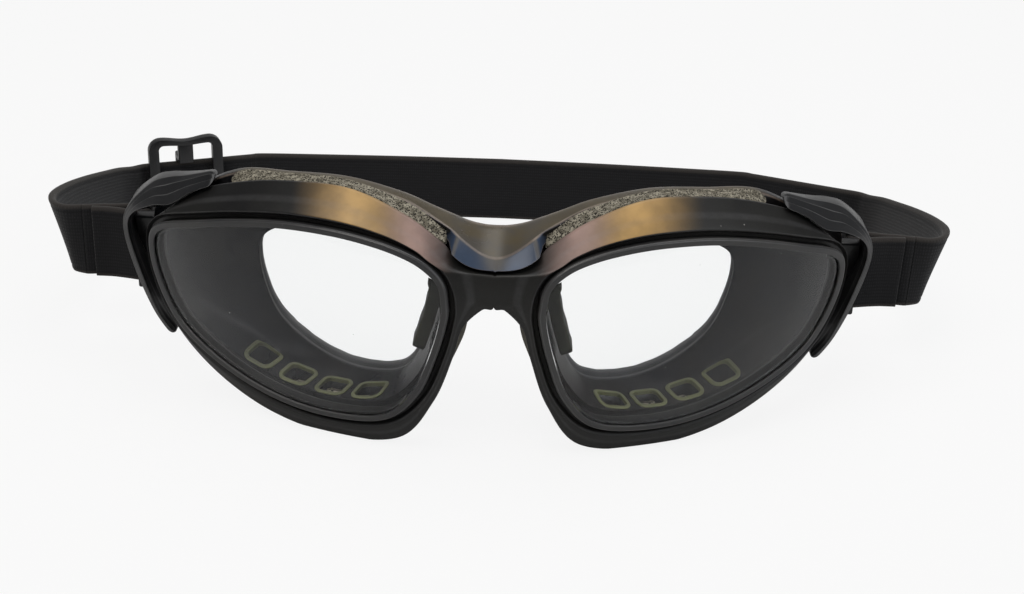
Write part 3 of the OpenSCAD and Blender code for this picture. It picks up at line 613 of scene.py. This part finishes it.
# Open-cell foam
# A strip of grey-brown foam lies in each upper vent, behind the brow's hood, and the plugs of the
# windows are of the same foam. Its cells are real hollows in the mesh, and their deepest parts are
# painted near black as shade.
FOAM_CELL, FOAM_PIT, PLUG_CELL, PLUG_PIT, PLUG_LOW, PLUG_HIGH = 0.34, 0.26, 0.5, 0.3, 1.6, 4.6


def cells(points, size):
    """How deep a point lies in an open cell, 0 to 1: one seed is scattered in every cube of
    that size, and the value falls with the distance from the nearest seed."""
    cube = np.floor(points / size)
    nearest = np.full(len(points), 9.0)
    for shift in np.stack(np.meshgrid(*[(-1, 0, 1)] * 3), -1).reshape(-1, 3):
        at = cube + shift
        scattered = np.stack([np.modf(np.abs(np.sin(at @ np.array(k))) * 4375.85)[0]
                              for k in ((12.99, 78.23, 37.72), (39.35, 11.14, 83.15),
                                        (73.16, 52.24, 9.15))], 1)
        nearest = np.minimum(nearest, length((at + scattered) * size - points)[:, 0])
    return np.clip(1 - nearest / (0.62 * size), 0, 1)


foam, tree, bsdf, place = material("open_cell_foam")
tint = noise(tree, place, 900.0, 3.0)
web = mixed(tree, ramp(tree, tint, 0.35, 0.65), (0.13, 0.118, 0.09, 1), (0.32, 0.295, 0.235, 1))
plugged(tree, bsdf, {
    # The cells' hollows are painted near black as their shade.
    "Base Color": mixed(tree, ramp(tree, at_edges(tree), 0.1, 0.5), web,
                        (0.012, 0.011, 0.010, 1)),
    "Roughness": 0.95, "Specular IOR Level": 0.15, "Normal": bumped(tree, tint, 0.5, 0.00004)})


def foamed(name, stack, side):
    """A closed stack of loops in foam: each point sinks towards the middle of its own loop by
    the depth of the cell that it lies in."""
    open_cell = cells(stack.reshape(-1, 3), FOAM_CELL)
    middle = stack.mean(1, keepdims=True)
    inwards = ((middle - stack) / np.maximum(length(middle - stack), 1e-6)).reshape(-1, 3)
    sunk = stack.reshape(-1, 3) + inwards * (open_cell[:, None] * FOAM_PIT)
    return plug(name, sunk.reshape(stack.shape), side, edge=open_cell)


def run_along(line):
    """How far each point lies along its line."""
    return np.concatenate([[0], np.cumsum(length(np.diff(line, axis=0))[:, 0])])


def tapered(grid, reach, least):
    """A bar's sections, which lie in the grid's columns, drawn in towards their middles near
    both ends."""
    middle = grid.mean(0, keepdims=True)
    run = run_along(middle[0])
    near_end = np.clip(np.minimum(run, run[-1] - run) / reach, 0, 1)
    kept = np.sqrt(np.clip(1 - (1 - near_end) ** 2, least, 1))
    return middle + (grid - middle) * kept[None, :, None]


def packed(corners, along, across):
    """A bar's sections with many points: corner lines joined by sides of the given numbers of
    points, and its two ends drawn in over the reach of its widest section."""
    line = np.concatenate([lerp(corners[k], corners[(k + 1) % len(corners)],
                                (np.arange(count) / count)[:, None, None])
                           for k, count in enumerate(across)])
    place = np.linspace(0, line.shape[1] - 1, along)
    low = np.floor(place).astype(int)
    high = np.minimum(low + 1, line.shape[1] - 1)
    fine = lerp(line[:, low], line[:, high], (place - low)[None, :, None])
    return tapered(fine, length(fine - fine.mean(0, keepdims=True)).max(), 0.04).transpose(1, 0, 2)


vent = slice(4 * STEPS, 8 * STEPS + STEPS // 4 + 1)
vent_low = outward(2.2)[vent]
vent_front = (rim_depth + HOOD_T + SEAT_GAP)[vent]
vent_top = lerp(rim_line, ridge_line, 0.72)[vent]
vent_back = np.where(station[vent] <= 4.5, frame_front(rim_line)[vent], ridge_depth[vent]) - 0.2
vent_back = np.convolve(np.pad(vent_back, 6, mode="edge"), np.ones(13) / 13, mode="valid")
strip = packed([skin(vent_low, vent_front), skin(rim_line[vent], vent_front),
                deep(vent_top, vent_back), deep(vent_low, vent_back)],
               760, (10, 40, 12, 10))
for name, side in SIDES:
    finish(foamed("foam_strip_" + name, strip, side), foam, "frame", "foam",
           "vent_foam_top_" + name)
    for number, x in enumerate(windows_x):
        outline = window_outline(x, WINDOW_W - 0.2, WINDOW_D - 0.2, 1.1, count=14)
        mid = outline.mean(0)
        top = [lerp(outline, mid, u) for u in np.linspace(0, 0.96, 22)]
        stack = np.stack([at_height(p, PLUG_HIGH) for p in top[::-1]]
                         + [at_height(outline, z)
                            for z in np.linspace(PLUG_HIGH - 0.1, PLUG_LOW + 0.1, 12)]
                         + [at_height(p, PLUG_LOW) for p in top])
        open_cell = cells(stack.reshape(-1, 3), PLUG_CELL)
        inwards = np.sign(stack[..., 2] - (PLUG_LOW + PLUG_HIGH) / 2)
        stack[..., 2] -= (open_cell * PLUG_PIT).reshape(stack.shape[:2]) * inwards
        made = plug(f"foam_plug_{name}_{number + 1}", stack, side, edge=open_cell)
        finish(made, foam, "frame", "foam", "vent_foam_bottom_" + name)

# Window liners
# A thin raised rim of olive rubber is moulded round each window on the floor of the cup, and
# keeps the foam plug in.
liner_rubber = plastic("olive_liner", (0.075, 0.08, 0.04), (0.14, 0.145, 0.06), 0.6,
                       edge_tint=(0.32, 0.34, 0.13), edge_wear_and_highlight=0.5)


def cup_floor(p):
    """Height of the cup's inside below the lens at x and y. The wall is made of straight lines
    from its front edge to its middle, which are cut at two depths; between them it is linear."""
    below = slice(12 * STEPS, 18 * STEPS)
    near, far = inner[below][::-1], lerp(inner, eye_line, 0.35)[below][::-1]
    at_foot = front(at_height(near[:, :1], LENS_AT[1])) - front(near)
    heights = []
    for off in (-3, 2):
        share = (WINDOW_Y + off + at_foot - frame_front(near)) / (CUP_MID_D - frame_front(near))
        cut_at = lerp(near, far, share[:, None])
        heights.append(np.interp(p[:, 0], cut_at[:, 0], cut_at[:, 1]))
    level = front(at_height(p[:, :1], LENS_AT[1])) + WINDOW_Y
    return lerp(heights[0], heights[1], (p[:, 1] - level + 3) / 5)


for name, side in SIDES:
    for number, x in enumerate(windows_x):
        inside = window_outline(x, WINDOW_W - 0.1, WINDOW_D - 0.1, 1.15, count=10)
        outside = grown(inside, -0.75)
        grid, edge = rounded([at_height(p, cup_floor(p) + z) for p, z in (
            (inside, -0.6), (inside, 0.35), (outside, 0.25), (outside, -0.6))],
            [0.1, 0.2, 0.2, 0.1], 3)
        finish(tube(f"window_liner_{name}_{number + 1}", grid, side, edge), liner_rubber,
               "frame", "frame")

# Face gaskets
# A cushion of soft foam in brushed black cloth is glued round the rear of each cup. It swells
# between its edges and has a sewn seam where the cloth meets the cup.
GASKET_T = 6
brushed, tree, bsdf, place = material("brushed_black_cloth")
nap = noise(tree, place, 2200.0, 4.0, 0.7)
shade = mixed(tree, ramp(tree, noise(tree, place, 120.0, 3.0), 0.35, 0.7),
              (0.016, 0.016, 0.018, 1), (0.04, 0.04, 0.043, 1))
plugged(tree, bsdf, {
    "Base Color": mixed(tree, ramp(tree, nap, 0.6, 0.8, 0, 0.5), shade, (0.10, 0.10, 0.105, 1)),
    "Roughness": 0.95, "Sheen Weight": 0.4, "Sheen Roughness": 0.5,
    "Normal": bumped(tree, nap, 0.7, 0.00012)})
cushion_seat = grown(eye_line, SEAT_W)
rise = CUP_D + SEAT_GAP
section = [(0.08, 0), (0.5, 0), (0.92, 0), (0.96, 0.14), (0.93, 0.2), (1.02, 0.45), (0.86, 0.84),
           (0.5, 1), (0.14, 0.84), (-0.02, 0.45), (0.07, 0.2), (0.04, 0.14)]
section = spline(section, 5)
ripple = 0.12 * np.sin(station * 9.1) * np.sin(station * 2.3 + 1)
grid = np.stack([deep(lerp(eye_line, cushion_seat, u), rise + GASKET_T * v + ripple * v)
                 for u, v in section])
for name, side in SIDES:
    cushion = finish(tube("gasket_cushion_" + name, grid, side), brushed, "frame", "gasket",
                     "face_gasket_" + name)

# Nose pads
# A soft pad of beige-grey rubber lies on the nose side of each cup. It is moulded with a crown
# in its middle, and a clip behind the wall holds it.
PAD_W, PAD_RISE, PAD_CROWN, PAD_BACK = 3.6, 0.5, 0.9, 13.8
pad_rubber = plastic("pad_rubber", (0.15, 0.14, 0.115), (0.22, 0.205, 0.17), 0.62, bump=0.5,
                     edge_tint=(0.3, 0.28, 0.24), edge_wear_and_highlight=0.2, specular=0.35)


def bar(name, grid, edge, side, uv=None):
    """A bar from sections that lie in the grid's columns, closed by a face at each end."""
    rows, n = grid.shape[:2]
    return piece(name, grid.reshape(-1, 3), quads(rows, n, wrap_columns=False),
                 [(np.arange(rows) * n)[::-1], np.arange(rows) * n + n - 1], side, edge, uv)


picked = np.arange(18 * STEPS, 20 * STEPS + STEPS // 2 + 1) % len(lens_line)
swelling = np.zeros(len(ridge_line))
swelling[picked] = PAD_RISE + PAD_CROWN * np.sin(np.linspace(0, math.pi, len(picked)))
foot_line, swollen = grown(ridge_line, 0.2)[picked], grown(ridge_line, swelling)[picked]
pad_grid, pad_edge = rounded(
    [deep(swollen, PAD_BACK - PAD_W + 0.4), deep(lerp(foot_line, swollen, 1.15), PAD_BACK - 0.6),
     deep(swollen, PAD_BACK), deep(foot_line, PAD_BACK), deep(foot_line, PAD_BACK - PAD_W)],
    [0.4, 0.5, 0.35, 0.2, 0.2])
pad_grid = tapered(pad_grid, 2.5, 0.04)

# Pad clips
# Behind each pad a spring clip of dark olive nylon, seen through the lens, grips the inside of
# the cup's wall.
PAD_CLIP_FRONT, PAD_CLIP_BACK, PAD_CLIP_T, PAD_CLIP_GAP = 9.6, 15, 2.5, 0.75
clip_olive = plastic("clip_olive", (0.014, 0.014, 0.008), (0.024, 0.024, 0.013), 0.5,
                     edge_tint=(0.06, 0.06, 0.035), edge_wear_and_highlight=0.4, specular=0.2)
picked = np.arange(int(18.5 * STEPS), int(21.5 * STEPS) + 1) % len(lens_line)
held_on = grown(lens_line, -0.8 - PAD_CLIP_GAP)[picked]
bulge = 0.12 * np.sin(np.linspace(0, 5 * math.pi, len(picked))) ** 2
facing_eye = grown(lens_line, -0.8 - PAD_CLIP_GAP - PAD_CLIP_T)[picked]
facing_eye = lerp(facing_eye, held_on, (bulge / PAD_CLIP_T)[:, None])
clip_grid, clip_edge = rounded(
    [deep(held_on, PAD_CLIP_FRONT), deep(held_on, PAD_CLIP_BACK), deep(facing_eye, PAD_CLIP_BACK),
     deep(facing_eye, PAD_CLIP_FRONT)], [0.2, 0.3, 0.6, 0.6])
clip_grid = tapered(clip_grid, 1.2, 0.1)
for name, side in SIDES:
    finish(bar("nose_pad_crowned_" + name, pad_grid, pad_edge, side), pad_rubber, "frame", "pad",
           "nose_pad_" + name)
    finish(bar("pad_spring_clip_" + name, clip_grid, clip_edge, side), clip_olive, "frame",
           "pad_clip", "pad_clip_" + name)

# Side brackets
# The shell round each temple is one wall, drawn thin at its front edge. Two raised lines run
# over its top, and two lugs behind it carry the hinge pin of the strap's clip.
BRACKET_WALL, BRACKET_BACK, BRACKET_KNEE, KNEE_H = 1.6, 8.4, 34.056, 14
BRACKET_AT = [8.5, 9, 9.5, 10, 11, 11.5, 12, 13, 13.5]
BRACKET_IN = [(-1.4, -0.8, 3.9), (-1.5, -0.6, 2.7), (-0.8, -0.7, 2), (0.7, 0.6, 2.5),
              (3.3, 1.7, 2.3), (5, 1, 2.6), (3.3, -1.7, 2.6), (3.2, 0, 2.2), (3.5, 0.5, 2.8)]
BRACKET_OUT = [(-1.3, 0.7, 8.3), (0.5, 0.3, 8.2), (1.3, 1.9, 7.7), (2.2, 2.9, 6.9),
               (4.5, 2.7, 3.2), (6.3, 1.4, 2.1), (5.1, -1.4, 2.2), (4.5, -0.1, 2.2),
               (4, -0.3, 2.5)]
HINGE_X, HINGE_Y, HINGE_R, KNUCKLE_W, YOKE_Y, LUG_H = 66.6, 52.5596, 1, 1.6, 44.3596, 2.6
STRAP_Z, STRAP_W, STRAP_T = 21.1, 16, 1.5
HINGE_TOP, HINGE_LOW = STRAP_Z + STRAP_W / 2 + 1.9, STRAP_Z - STRAP_W / 2 - 1.5
KNUCKLE_R = HINGE_R + KNUCKLE_W
ARM_X, ARM_T, ARM_LOW, ARM_TOP = 74.82, 3.4, 17.4, 30.4
bracket_black = plastic("bracket_black", (0.007, 0.007, 0.008), (0.011, 0.011, 0.012), 0.36,
                        edge_tint=(0.22, 0.22, 0.22), edge_wear_and_highlight=0.55, coat=0.15)


def by_rim(steps):
    """The curve through points that lie at these steps from the carriage's edge."""
    at = rim_line[(np.array(BRACKET_AT) * STEPS).astype(int)]
    return spline(at_height(at, 0) + steps, 20, closed=False)


a, w = by_rim(BRACKET_IN), by_rim(BRACKET_OUT)
away = (w - a)[:, :2] / length((w - a)[:, :2])
crown = (np.maximum(0, w[:, 1] - BRACKET_KNEE) / KNEE_H)[:, None]
rear = w[:, 2] + BRACKET_BACK * (1 - 0.6 * crown[:, 0])
thick = BRACKET_WALL * (1 - 0.5 * crown)
outer, inside = w[:, :2] - [0.4, 1] * crown, lerp(w[:, :2], a[:, :2], 0.5)


def raised(share, lift):
    """A line along the bracket's face at a share of its width, lifted off it over the brow."""
    p = lerp(a, w, share)
    return deep(p[:, :2] + away * lift * np.minimum(1, 2.5 * crown), p[:, 2])


grid, edge = rounded(
    [deep(a[:, :2], a[:, 2]), raised(0.3, 0.35), raised(0.38, 0), raised(0.6, 0.55),
     raised(0.7, 0.05), deep(w[:, :2], w[:, 2]), deep(outer, rear),
     deep(outer - away * thick, rear), deep(inside - away * thick / 2, w[:, 2] + 2 * thick[:, 0]),
     deep(a[:, :2], a[:, 2] + thick[:, 0])],
    [0.35, 0.35, 0.3, 0.4, 0.4, 0.6, 0.4, 0.3, 1, 0.2], 4)
grid = tapered(grid, 1.8, 0.04)


def softened(made, r):
    """The piece with a bevel of radius r in mm along its edges."""
    bevel = made.modifiers.new("edges", "BEVEL")
    bevel.width, bevel.segments = r / 1000, 3
    return made


def block(name, low, high, r, side):
    """A box between two corners in mm with all its edges rounded."""
    points = np.array([[x, y, z] for z in (low[2], high[2])
                       for x, y in ((low[0], low[1]), (high[0], low[1]), (high[0], high[1]),
                                    (low[0], high[1]))], float)
    return softened(piece(name, points, quads(2, 4, wrap_rows=False),
                          [[0, 1, 2, 3], [7, 6, 5, 4]], side), r)


turn = np.linspace(0, math.pi, 24)
lug_outline = np.concatenate([
    [[HINGE_X - KNUCKLE_R, YOKE_Y], [HINGE_X + KNUCKLE_R, YOKE_Y]],
    np.stack([HINGE_X + KNUCKLE_R * np.cos(turn), HINGE_Y + KNUCKLE_R * np.sin(turn)], 1)])
for name, side in SIDES:
    finish(bar("bracket_shell_" + name, grid, edge, side), bracket_black, "frame", "frame",
           "side_bracket_" + name)
    parts = [plug(f"hinge_lug_{level}_{name}", prism(lug_outline, z, z + LUG_H, 0.3), side)
             for level, z in (("low", HINGE_LOW), ("top", HINGE_TOP - LUG_H))]
    for label, low, high, r in (
            ("post", (HINGE_X - KNUCKLE_R, YOKE_Y, HINGE_LOW + 0.2),
             (HINGE_X + KNUCKLE_R, HINGE_Y - KNUCKLE_R - RUN_GAP, HINGE_TOP - 0.2), 0.4),
            ("arm", (HINGE_X, YOKE_Y, ARM_LOW), (ARM_X, YOKE_Y + ARM_T, ARM_TOP), 0.5)):
        parts.append(block(f"hinge_{label}_{name}", low, high, r, side))
    for part in parts:
        finish(part, bracket_black, "frame", "frame")

# Pins
# Ground steel rods. The four guide pins are pressed into the carriage, and the hinge pins into
# the brackets' lugs.
steel = plastic("ground_steel", (0.55, 0.55, 0.56), (0.62, 0.62, 0.63), 0.25, metal=1.0,
                edge_tint=(0.8, 0.8, 0.8), edge_wear_and_highlight=0.2)
for node in ("guide_pins", "hinge_pin_left", "hinge_pin_right"):
    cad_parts[node].data.materials.clear()
    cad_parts[node].data.materials.append(steel)

# Strap clips
# Each is a black moulded loop: a barrel on the hinge pin with a leaf to its spine, two arms, and
# a round bar that the strap is sewn round.
CLIP_T, SLOT_W, BAR_W = 2.4, 3.4, 2.2
clip_black = plastic("clip_black", (0.014, 0.014, 0.015), (0.024, 0.024, 0.026), 0.34,
                     edge_tint=(0.2, 0.2, 0.2), edge_wear_and_highlight=0.5)
clip_in = HINGE_X + KNUCKLE_R + RUN_GAP
slot_in = clip_in + 1.6
bar_x = slot_in + SLOT_W + BAR_W / 2
clip_low, clip_high, arm_h = STRAP_Z - STRAP_W / 2 - 0.3, STRAP_Z + STRAP_W / 2 + 0.3, 2
barrel_low, barrel_high = HINGE_LOW + LUG_H + RUN_GAP, HINGE_TOP - LUG_H - RUN_GAP


def rod(name, x, r, low, high, side):
    """An upright round rod in the clip's plane with a rounded rim at both ends."""
    turn = np.linspace(0, 2 * math.pi, 33)[:-1]
    circle = np.stack([x + r * np.cos(turn), HINGE_Y + r * np.sin(turn)], 1)
    return plug(name, prism(circle, low, high, 0.3), side)


def slab(name, near, far, low, high, r, side):
    """A box of the clip's thickness, from one place along x to another and between two
    heights."""
    return block(name, (near, HINGE_Y - CLIP_T / 2, low), (far, HINGE_Y + CLIP_T / 2, high), r,
                 side)


for name, side in SIDES:
    for label, make, *sizes in (
            ("barrel", rod, HINGE_X, KNUCKLE_R, barrel_low, barrel_high),
            ("leaf", slab, HINGE_X + 1.2, clip_in + 1, barrel_low, barrel_high, 0.3),
            ("spine", slab, clip_in, slot_in, clip_low - arm_h, clip_high + arm_h, 0.4),
            ("bar", rod, bar_x, BAR_W / 2, clip_low - arm_h, clip_high + arm_h),
            ("arm_low", slab, clip_in + 0.2, bar_x + 1, clip_low - arm_h, clip_low, 0.45),
            ("arm_top", slab, clip_in + 0.2, bar_x + 1, clip_high, clip_high + arm_h, 0.45)):
        finish(make(f"clip_{label}_{name}", *sizes, side), clip_black, "clip_" + name, "clip",
               *(["strap_clip_" + name] if label == "barrel" else []))

# Strap
# Woven black elastic, folded back behind the lenses. Its ribs run along it, its edges are
# bound closer, and its ends go round the clips' bars and are sewn down.
elastic, tree, bsdf, _ = material("woven_elastic")
uv = add(tree, "UVMap", uv_map="UVMap").outputs[0]
ribs, picks = (add(tree, "TexWave", {"Vector": uv, "Scale": scale, "Distortion": warp,
                                     "Detail": 2.0}, bands_direction=way).outputs["Fac"]
               for scale, warp, way in ((0.42, 0.8, "Y"), (0.62, 1.2, "X")))
weave = times(tree, ribs, picks)
fuzz = noise(tree, uv, 1.6, 4.0, 0.7)
thread = mixed(tree, weave, (0.006, 0.006, 0.007, 1), (0.014, 0.014, 0.016, 1))
faded = mixed(tree, ramp(tree, fuzz, 0.6, 0.85, 0, 0.4), thread, (0.035, 0.033, 0.031, 1))
bound = times(tree, ramp(tree, at_edges(tree), 0.4, 0.9), 0.35)
plugged(tree, bsdf, {
    "Base Color": mixed(tree, bound, faded, (0.07, 0.06, 0.052, 1)),
    "Roughness": 0.9, "Specular IOR Level": 0.25, "Sheen Weight": 0.15,
    "Normal": bumped(tree, weave, 0.5, 0.0001)})
STRAP_END_X = 87.6
STRAP_DROP, FLOOR_DROP = 11.3, 1.7      # from the clip's height to the slider's rail, and on down
STRAP_ROUTE = [(1.001, 0, 0, 0), (1.039, 0.7, 0.01, 2), (1.062, 3.7, 0.03, 4),
               (1.071, 9.5, 0.09, 5), (1.068, 18.5, 0.24, 4.5), (1.059, 28.5, 0.44, 3),
               (1.047, 37.5, 0.64, 1.5), (1.032, 45, 0.81, 0.6), (1.0126, 50.3, 0.95, 0),
               (0.9886, 53.57, 1, 0), (0.9361, 55.34, 1, 0), (0.8847, 57.06, 1, 0),
               (0.7991, 59.93, 1, 0), (0.7135, 62.81, 1, 0), (0.6735, 64.22, 1.06, 0),
               (0.525, 67.7, 1.65, 0), (0.274, 70.3, 2, 0), (0, 70.9, 2, 0)]


def webbing(route, lean, t):
    """Sections of a flat band along a route: its two faces are flat but for a shallow groove inside
    each edge, and its edges are round. The lean moves the top edge outwards. Also how much of the
    edges' tint each point takes, and its UV place in mm."""
    along = np.gradient(route[:, :2], axis=0)
    along = along / length(along)
    inwards = np.column_stack([-along[:, 1], along[:, 0], np.zeros(len(route))])
    up = np.array([0, 0, STRAP_W / 2]) - inwards * lean[:, None] / 2
    turn = np.linspace(-math.pi / 2, math.pi / 2, 7)
    v = np.concatenate([np.linspace(-0.93, 0.93, 41), 0.94 + 0.06 * np.cos(turn[1:-1]),
                        np.linspace(0.93, -0.93, 41), -0.94 - 0.06 * np.cos(turn[1:-1])])
    u = np.concatenate([np.full(41, -1.0), np.sin(turn[1:-1]), np.full(41, 1.0),
                        -np.sin(turn[1:-1])])
    groove = np.exp(-((np.abs(v) - 0.84) / 0.02) ** 2)
    u = u * (1 - 0.22 * groove)
    grid = (route[None] + inwards[None] * (u * t / 2)[:, None, None] + up[None] * v[:, None, None])
    edge_tint = np.broadcast_to(np.clip((np.abs(v) - 0.8) / 0.15, 0, 1)[:, None], grid.shape[:2])
    uv = np.broadcast_arrays(run_along(route)[None], (STRAP_W * (v / 2 + 1))[:, None])
    return grid, edge_tint, np.stack(uv, -1)


half = spline([(x * STRAP_END_X, HINGE_Y + y,
                STRAP_Z - STRAP_DROP * min(1, z) - FLOOR_DROP * max(0, z - 1), lean)
               for x, y, z, lean in STRAP_ROUTE], 12, closed=False)
whole = np.concatenate([half, half[-2::-1] * [-1, 1, 1, 1]])
grid, edge_tint, uv = webbing(whole[:, :3], whole[:, 3], STRAP_T)
finish(bar("strap_band", grid, edge_tint, 1, uv), elastic, "frame", "strap", "strap")

# Strap ends
# The elastic goes round the clip's bar, comes back on itself and is sewn down.
inner_r = BAR_W / 2 + 0.2
turn = np.linspace(math.pi / 2, 3 * math.pi / 2, 25)
mid_r = inner_r + STRAP_T / 2
reach = STRAP_END_X + 0.09 - bar_x
lay = np.stack([np.linspace(6.4, 0.6, 10),
                lerp(STRAP_T / 2, mid_r, np.linspace(0.05, 0.97, 10) ** 1.3)], 1)
loop = np.concatenate([
    np.stack([np.linspace(reach, 7, 14), smooth(np.linspace(0, 1, 14)) * STRAP_T / 2], 1), lay,
    np.stack([mid_r * np.cos(turn), mid_r * np.sin(turn)], 1), lay[::-1] * [1, -1],
    np.stack([np.linspace(7, reach - 2.2, 8), np.full(8, -STRAP_T / 2)], 1)])
route = at_height(loop + [bar_x, HINGE_Y], STRAP_Z)
grid, edge_tint, uv = webbing(route, np.zeros(len(route)), STRAP_T - 0.06)
for name, side in SIDES:
    made = bar("strap_loop_" + name, grid, edge_tint, side, uv)
    made.data.materials.append(elastic)
    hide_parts("strap_end_" + name)
    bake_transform(made)

# Slider
# A black moulded plate with round corners and two windows. The strap goes behind the plate and
# in front of the bar in its middle, which two short bridges hold.
SLIDER_L, SLIDER_H, SLIDER_T, SLIDER_BAR, RAIL = 17.8, 24.6, 2.2, 2.4, 1.5
SLIDER_AT, SLIDER_TURN, SLIDER_CORNER, DIP = np.array([-77.4997, 109.62]), 0.366133, 3, 0.7
face_y = STRAP_T / 2 + 0.3
rear_w, rear_t = 1.5 * SLIDER_BAR, SLIDER_T - RUN_GAP


def round_box(w, h, r, dip):
    """A rectangle with round corners and an upper side that sinks by the dip as a cosine."""
    x = np.linspace(w / 2 - r, r - w / 2, 24)[1:-1]
    top = np.stack([x, h / 2 - dip * (1 + np.cos(2 * np.pi * x / (w - 2 * r))) / 2], 1)
    first, *others = corners(w, h, r, 10)
    return np.concatenate([first, top, *others])


def upright(name, outline, near, far):
    """A plate whose outline stands in the x-z plane, from one depth to another."""
    return plug(name, np.stack([at_height(outline, y)[:, [0, 2, 1]] for y in (near, far)]))


def on_strap(made):
    """Turns a piece drawn at the slider's middle to the strap's direction, in its mesh."""
    at = Matrix.Translation(Vector((*(SLIDER_AT - ORIGIN[:2]) / 1000, 0)))
    home = Matrix.Translation(Vector((0, ORIGIN[1] / 1000, 0)))
    made.data.transform(at @ Matrix.Rotation(SLIDER_TURN, 4, "Z") @ home)
    return made


middle = np.array([0, SLIDER_H / 2])
plate = upright("slider_plate", middle + round_box(SLIDER_L, SLIDER_H, SLIDER_CORNER, DIP),
                -face_y - SLIDER_T, -face_y)
opening = round_box(SLIDER_L - 2 * SLIDER_BAR, SLIDER_H - 2 * RAIL, 1.2, 0.3)
cut(plate, [upright("slider_opening", middle + opening, -face_y - SLIDER_T - 1, -face_y + 1)])
neck = STRAP_Z - STRAP_DROP + STRAP_W / 2 + 0.3     # just over the strap's upper edge
parts = [softened(plate, 0.4)]
for label, near, far, low, high in (
        ("bar_rear", face_y, face_y + rear_t, 0.1, neck + RAIL - 0.1),
        ("bar_front", 0.1 - face_y - SLIDER_T, -face_y - 0.1, neck + 0.1, SLIDER_H - DIP - 0.3),
        ("bridge_low", 0.3 - face_y - SLIDER_T, face_y + rear_t - 0.05, 0.05, RAIL),
        ("bridge_top", 0.15 - face_y - SLIDER_T, face_y + rear_t - 0.05, neck, neck + RAIL)):
    parts.append(block("slider_" + label, (-rear_w / 2, near, low), (rear_w / 2, far, high), 0.4,
                       1))
for part in parts:
    finish(on_strap(part), clip_black, "slider", "clip",
           *(["strap_slider"] if part == plate else []))

# Studio
# A pale floor that rises behind the object, and three soft lamps. To the camera, and through
# the lenses, the floor shows nearer to white than it is lit.
FLOOR_FRONT, FLOOR_REAR, FLOOR_BEND = -330, 500, 300
FLOOR_TOP, FLOOR_SIDE, FLOOR_UNDER = 900, 600, 0.02
pale, tree, bsdf, _ = material("studio_white")
plugged(tree, bsdf, {"Base Color": (0.62, 0.62, 0.62, 1), "Roughness": 0.9})


def seen_straight(tree):
    """1 for the camera's own rays, also where they came through a lens and met nothing else."""
    rays = add(tree, "LightPath").outputs
    bounces = add(tree, "Math", {0: rays["Diffuse Depth"], 1: rays["Glossy Depth"]},
                  operation="ADD")
    straight = add(tree, "Math", {0: bounces.outputs[0], 1: 0.5}, operation="LESS_THAN")
    passed = times(tree, rays["Is Transmission Ray"], straight.outputs[0])
    return add(tree, "Math", {0: rays["Is Camera Ray"], 1: passed},
               operation="MAXIMUM").outputs[0]


white = add(tree, "Emission", {"Color": (1, 1, 1, 1)})
either(tree, times(tree, seen_straight(tree), 0.88), bsdf, white)
arc = np.linspace(0, math.pi / 2, 12)
bend = [FLOOR_REAR, 0] + FLOOR_BEND * np.stack([np.sin(arc), 1 - np.cos(arc)], 1)
profile = np.concatenate([[[FLOOR_FRONT, 0]], bend, [[FLOOR_REAR + FLOOR_BEND, FLOOR_TOP]]])
sweep = np.stack([np.column_stack([np.full(len(profile), x), profile - [0, FLOOR_UNDER]])
                  for x in (-FLOOR_SIDE, FLOOR_SIDE)])
floor = piece("floor", sweep.reshape(-1, 3) + ORIGIN,
              quads(2, len(profile), wrap_rows=False, wrap_columns=False))
floor.data.materials.append(pale)
for name, place, size, energy, colour in (
        ("key", (-0.25, -0.35, 0.7), 0.5, 3.2, (1, 0.97, 0.93)),
        ("fill", (0.5, -0.3, 0.4), 0.5, 1.4, (0.95, 0.97, 1)),
        ("top", (0.1, 0.25, 0.8), 0.7, 2.8, (1, 1, 1))):
    lamp = bpy.data.objects.new(name, bpy.data.lights.new(name, "AREA"))
    lamp.data.size, lamp.data.energy, lamp.data.color = size, energy, colour
    lamp.location = place
    lamp.rotation_mode = "QUATERNION"
    lamp.rotation_quaternion = (Vector(place) - Vector((0, 0, 0.02))).to_track_quat("Z", "Y")
    scene.collection.objects.link(lamp)
world = bpy.data.worlds.new("studio")
scene.world = world
world.use_nodes = True
tree = world.node_tree
dim = plugged(tree, tree.nodes["Background"], {"Color": (0.9, 0.92, 0.95, 1), "Strength": 0.12})
white = add(tree, "Background", {"Color": (1, 1, 1, 1), "Strength": 0.935})
either(tree, seen_straight(tree), dim, white, "World Output")
scene.view_settings.view_transform = "Standard"
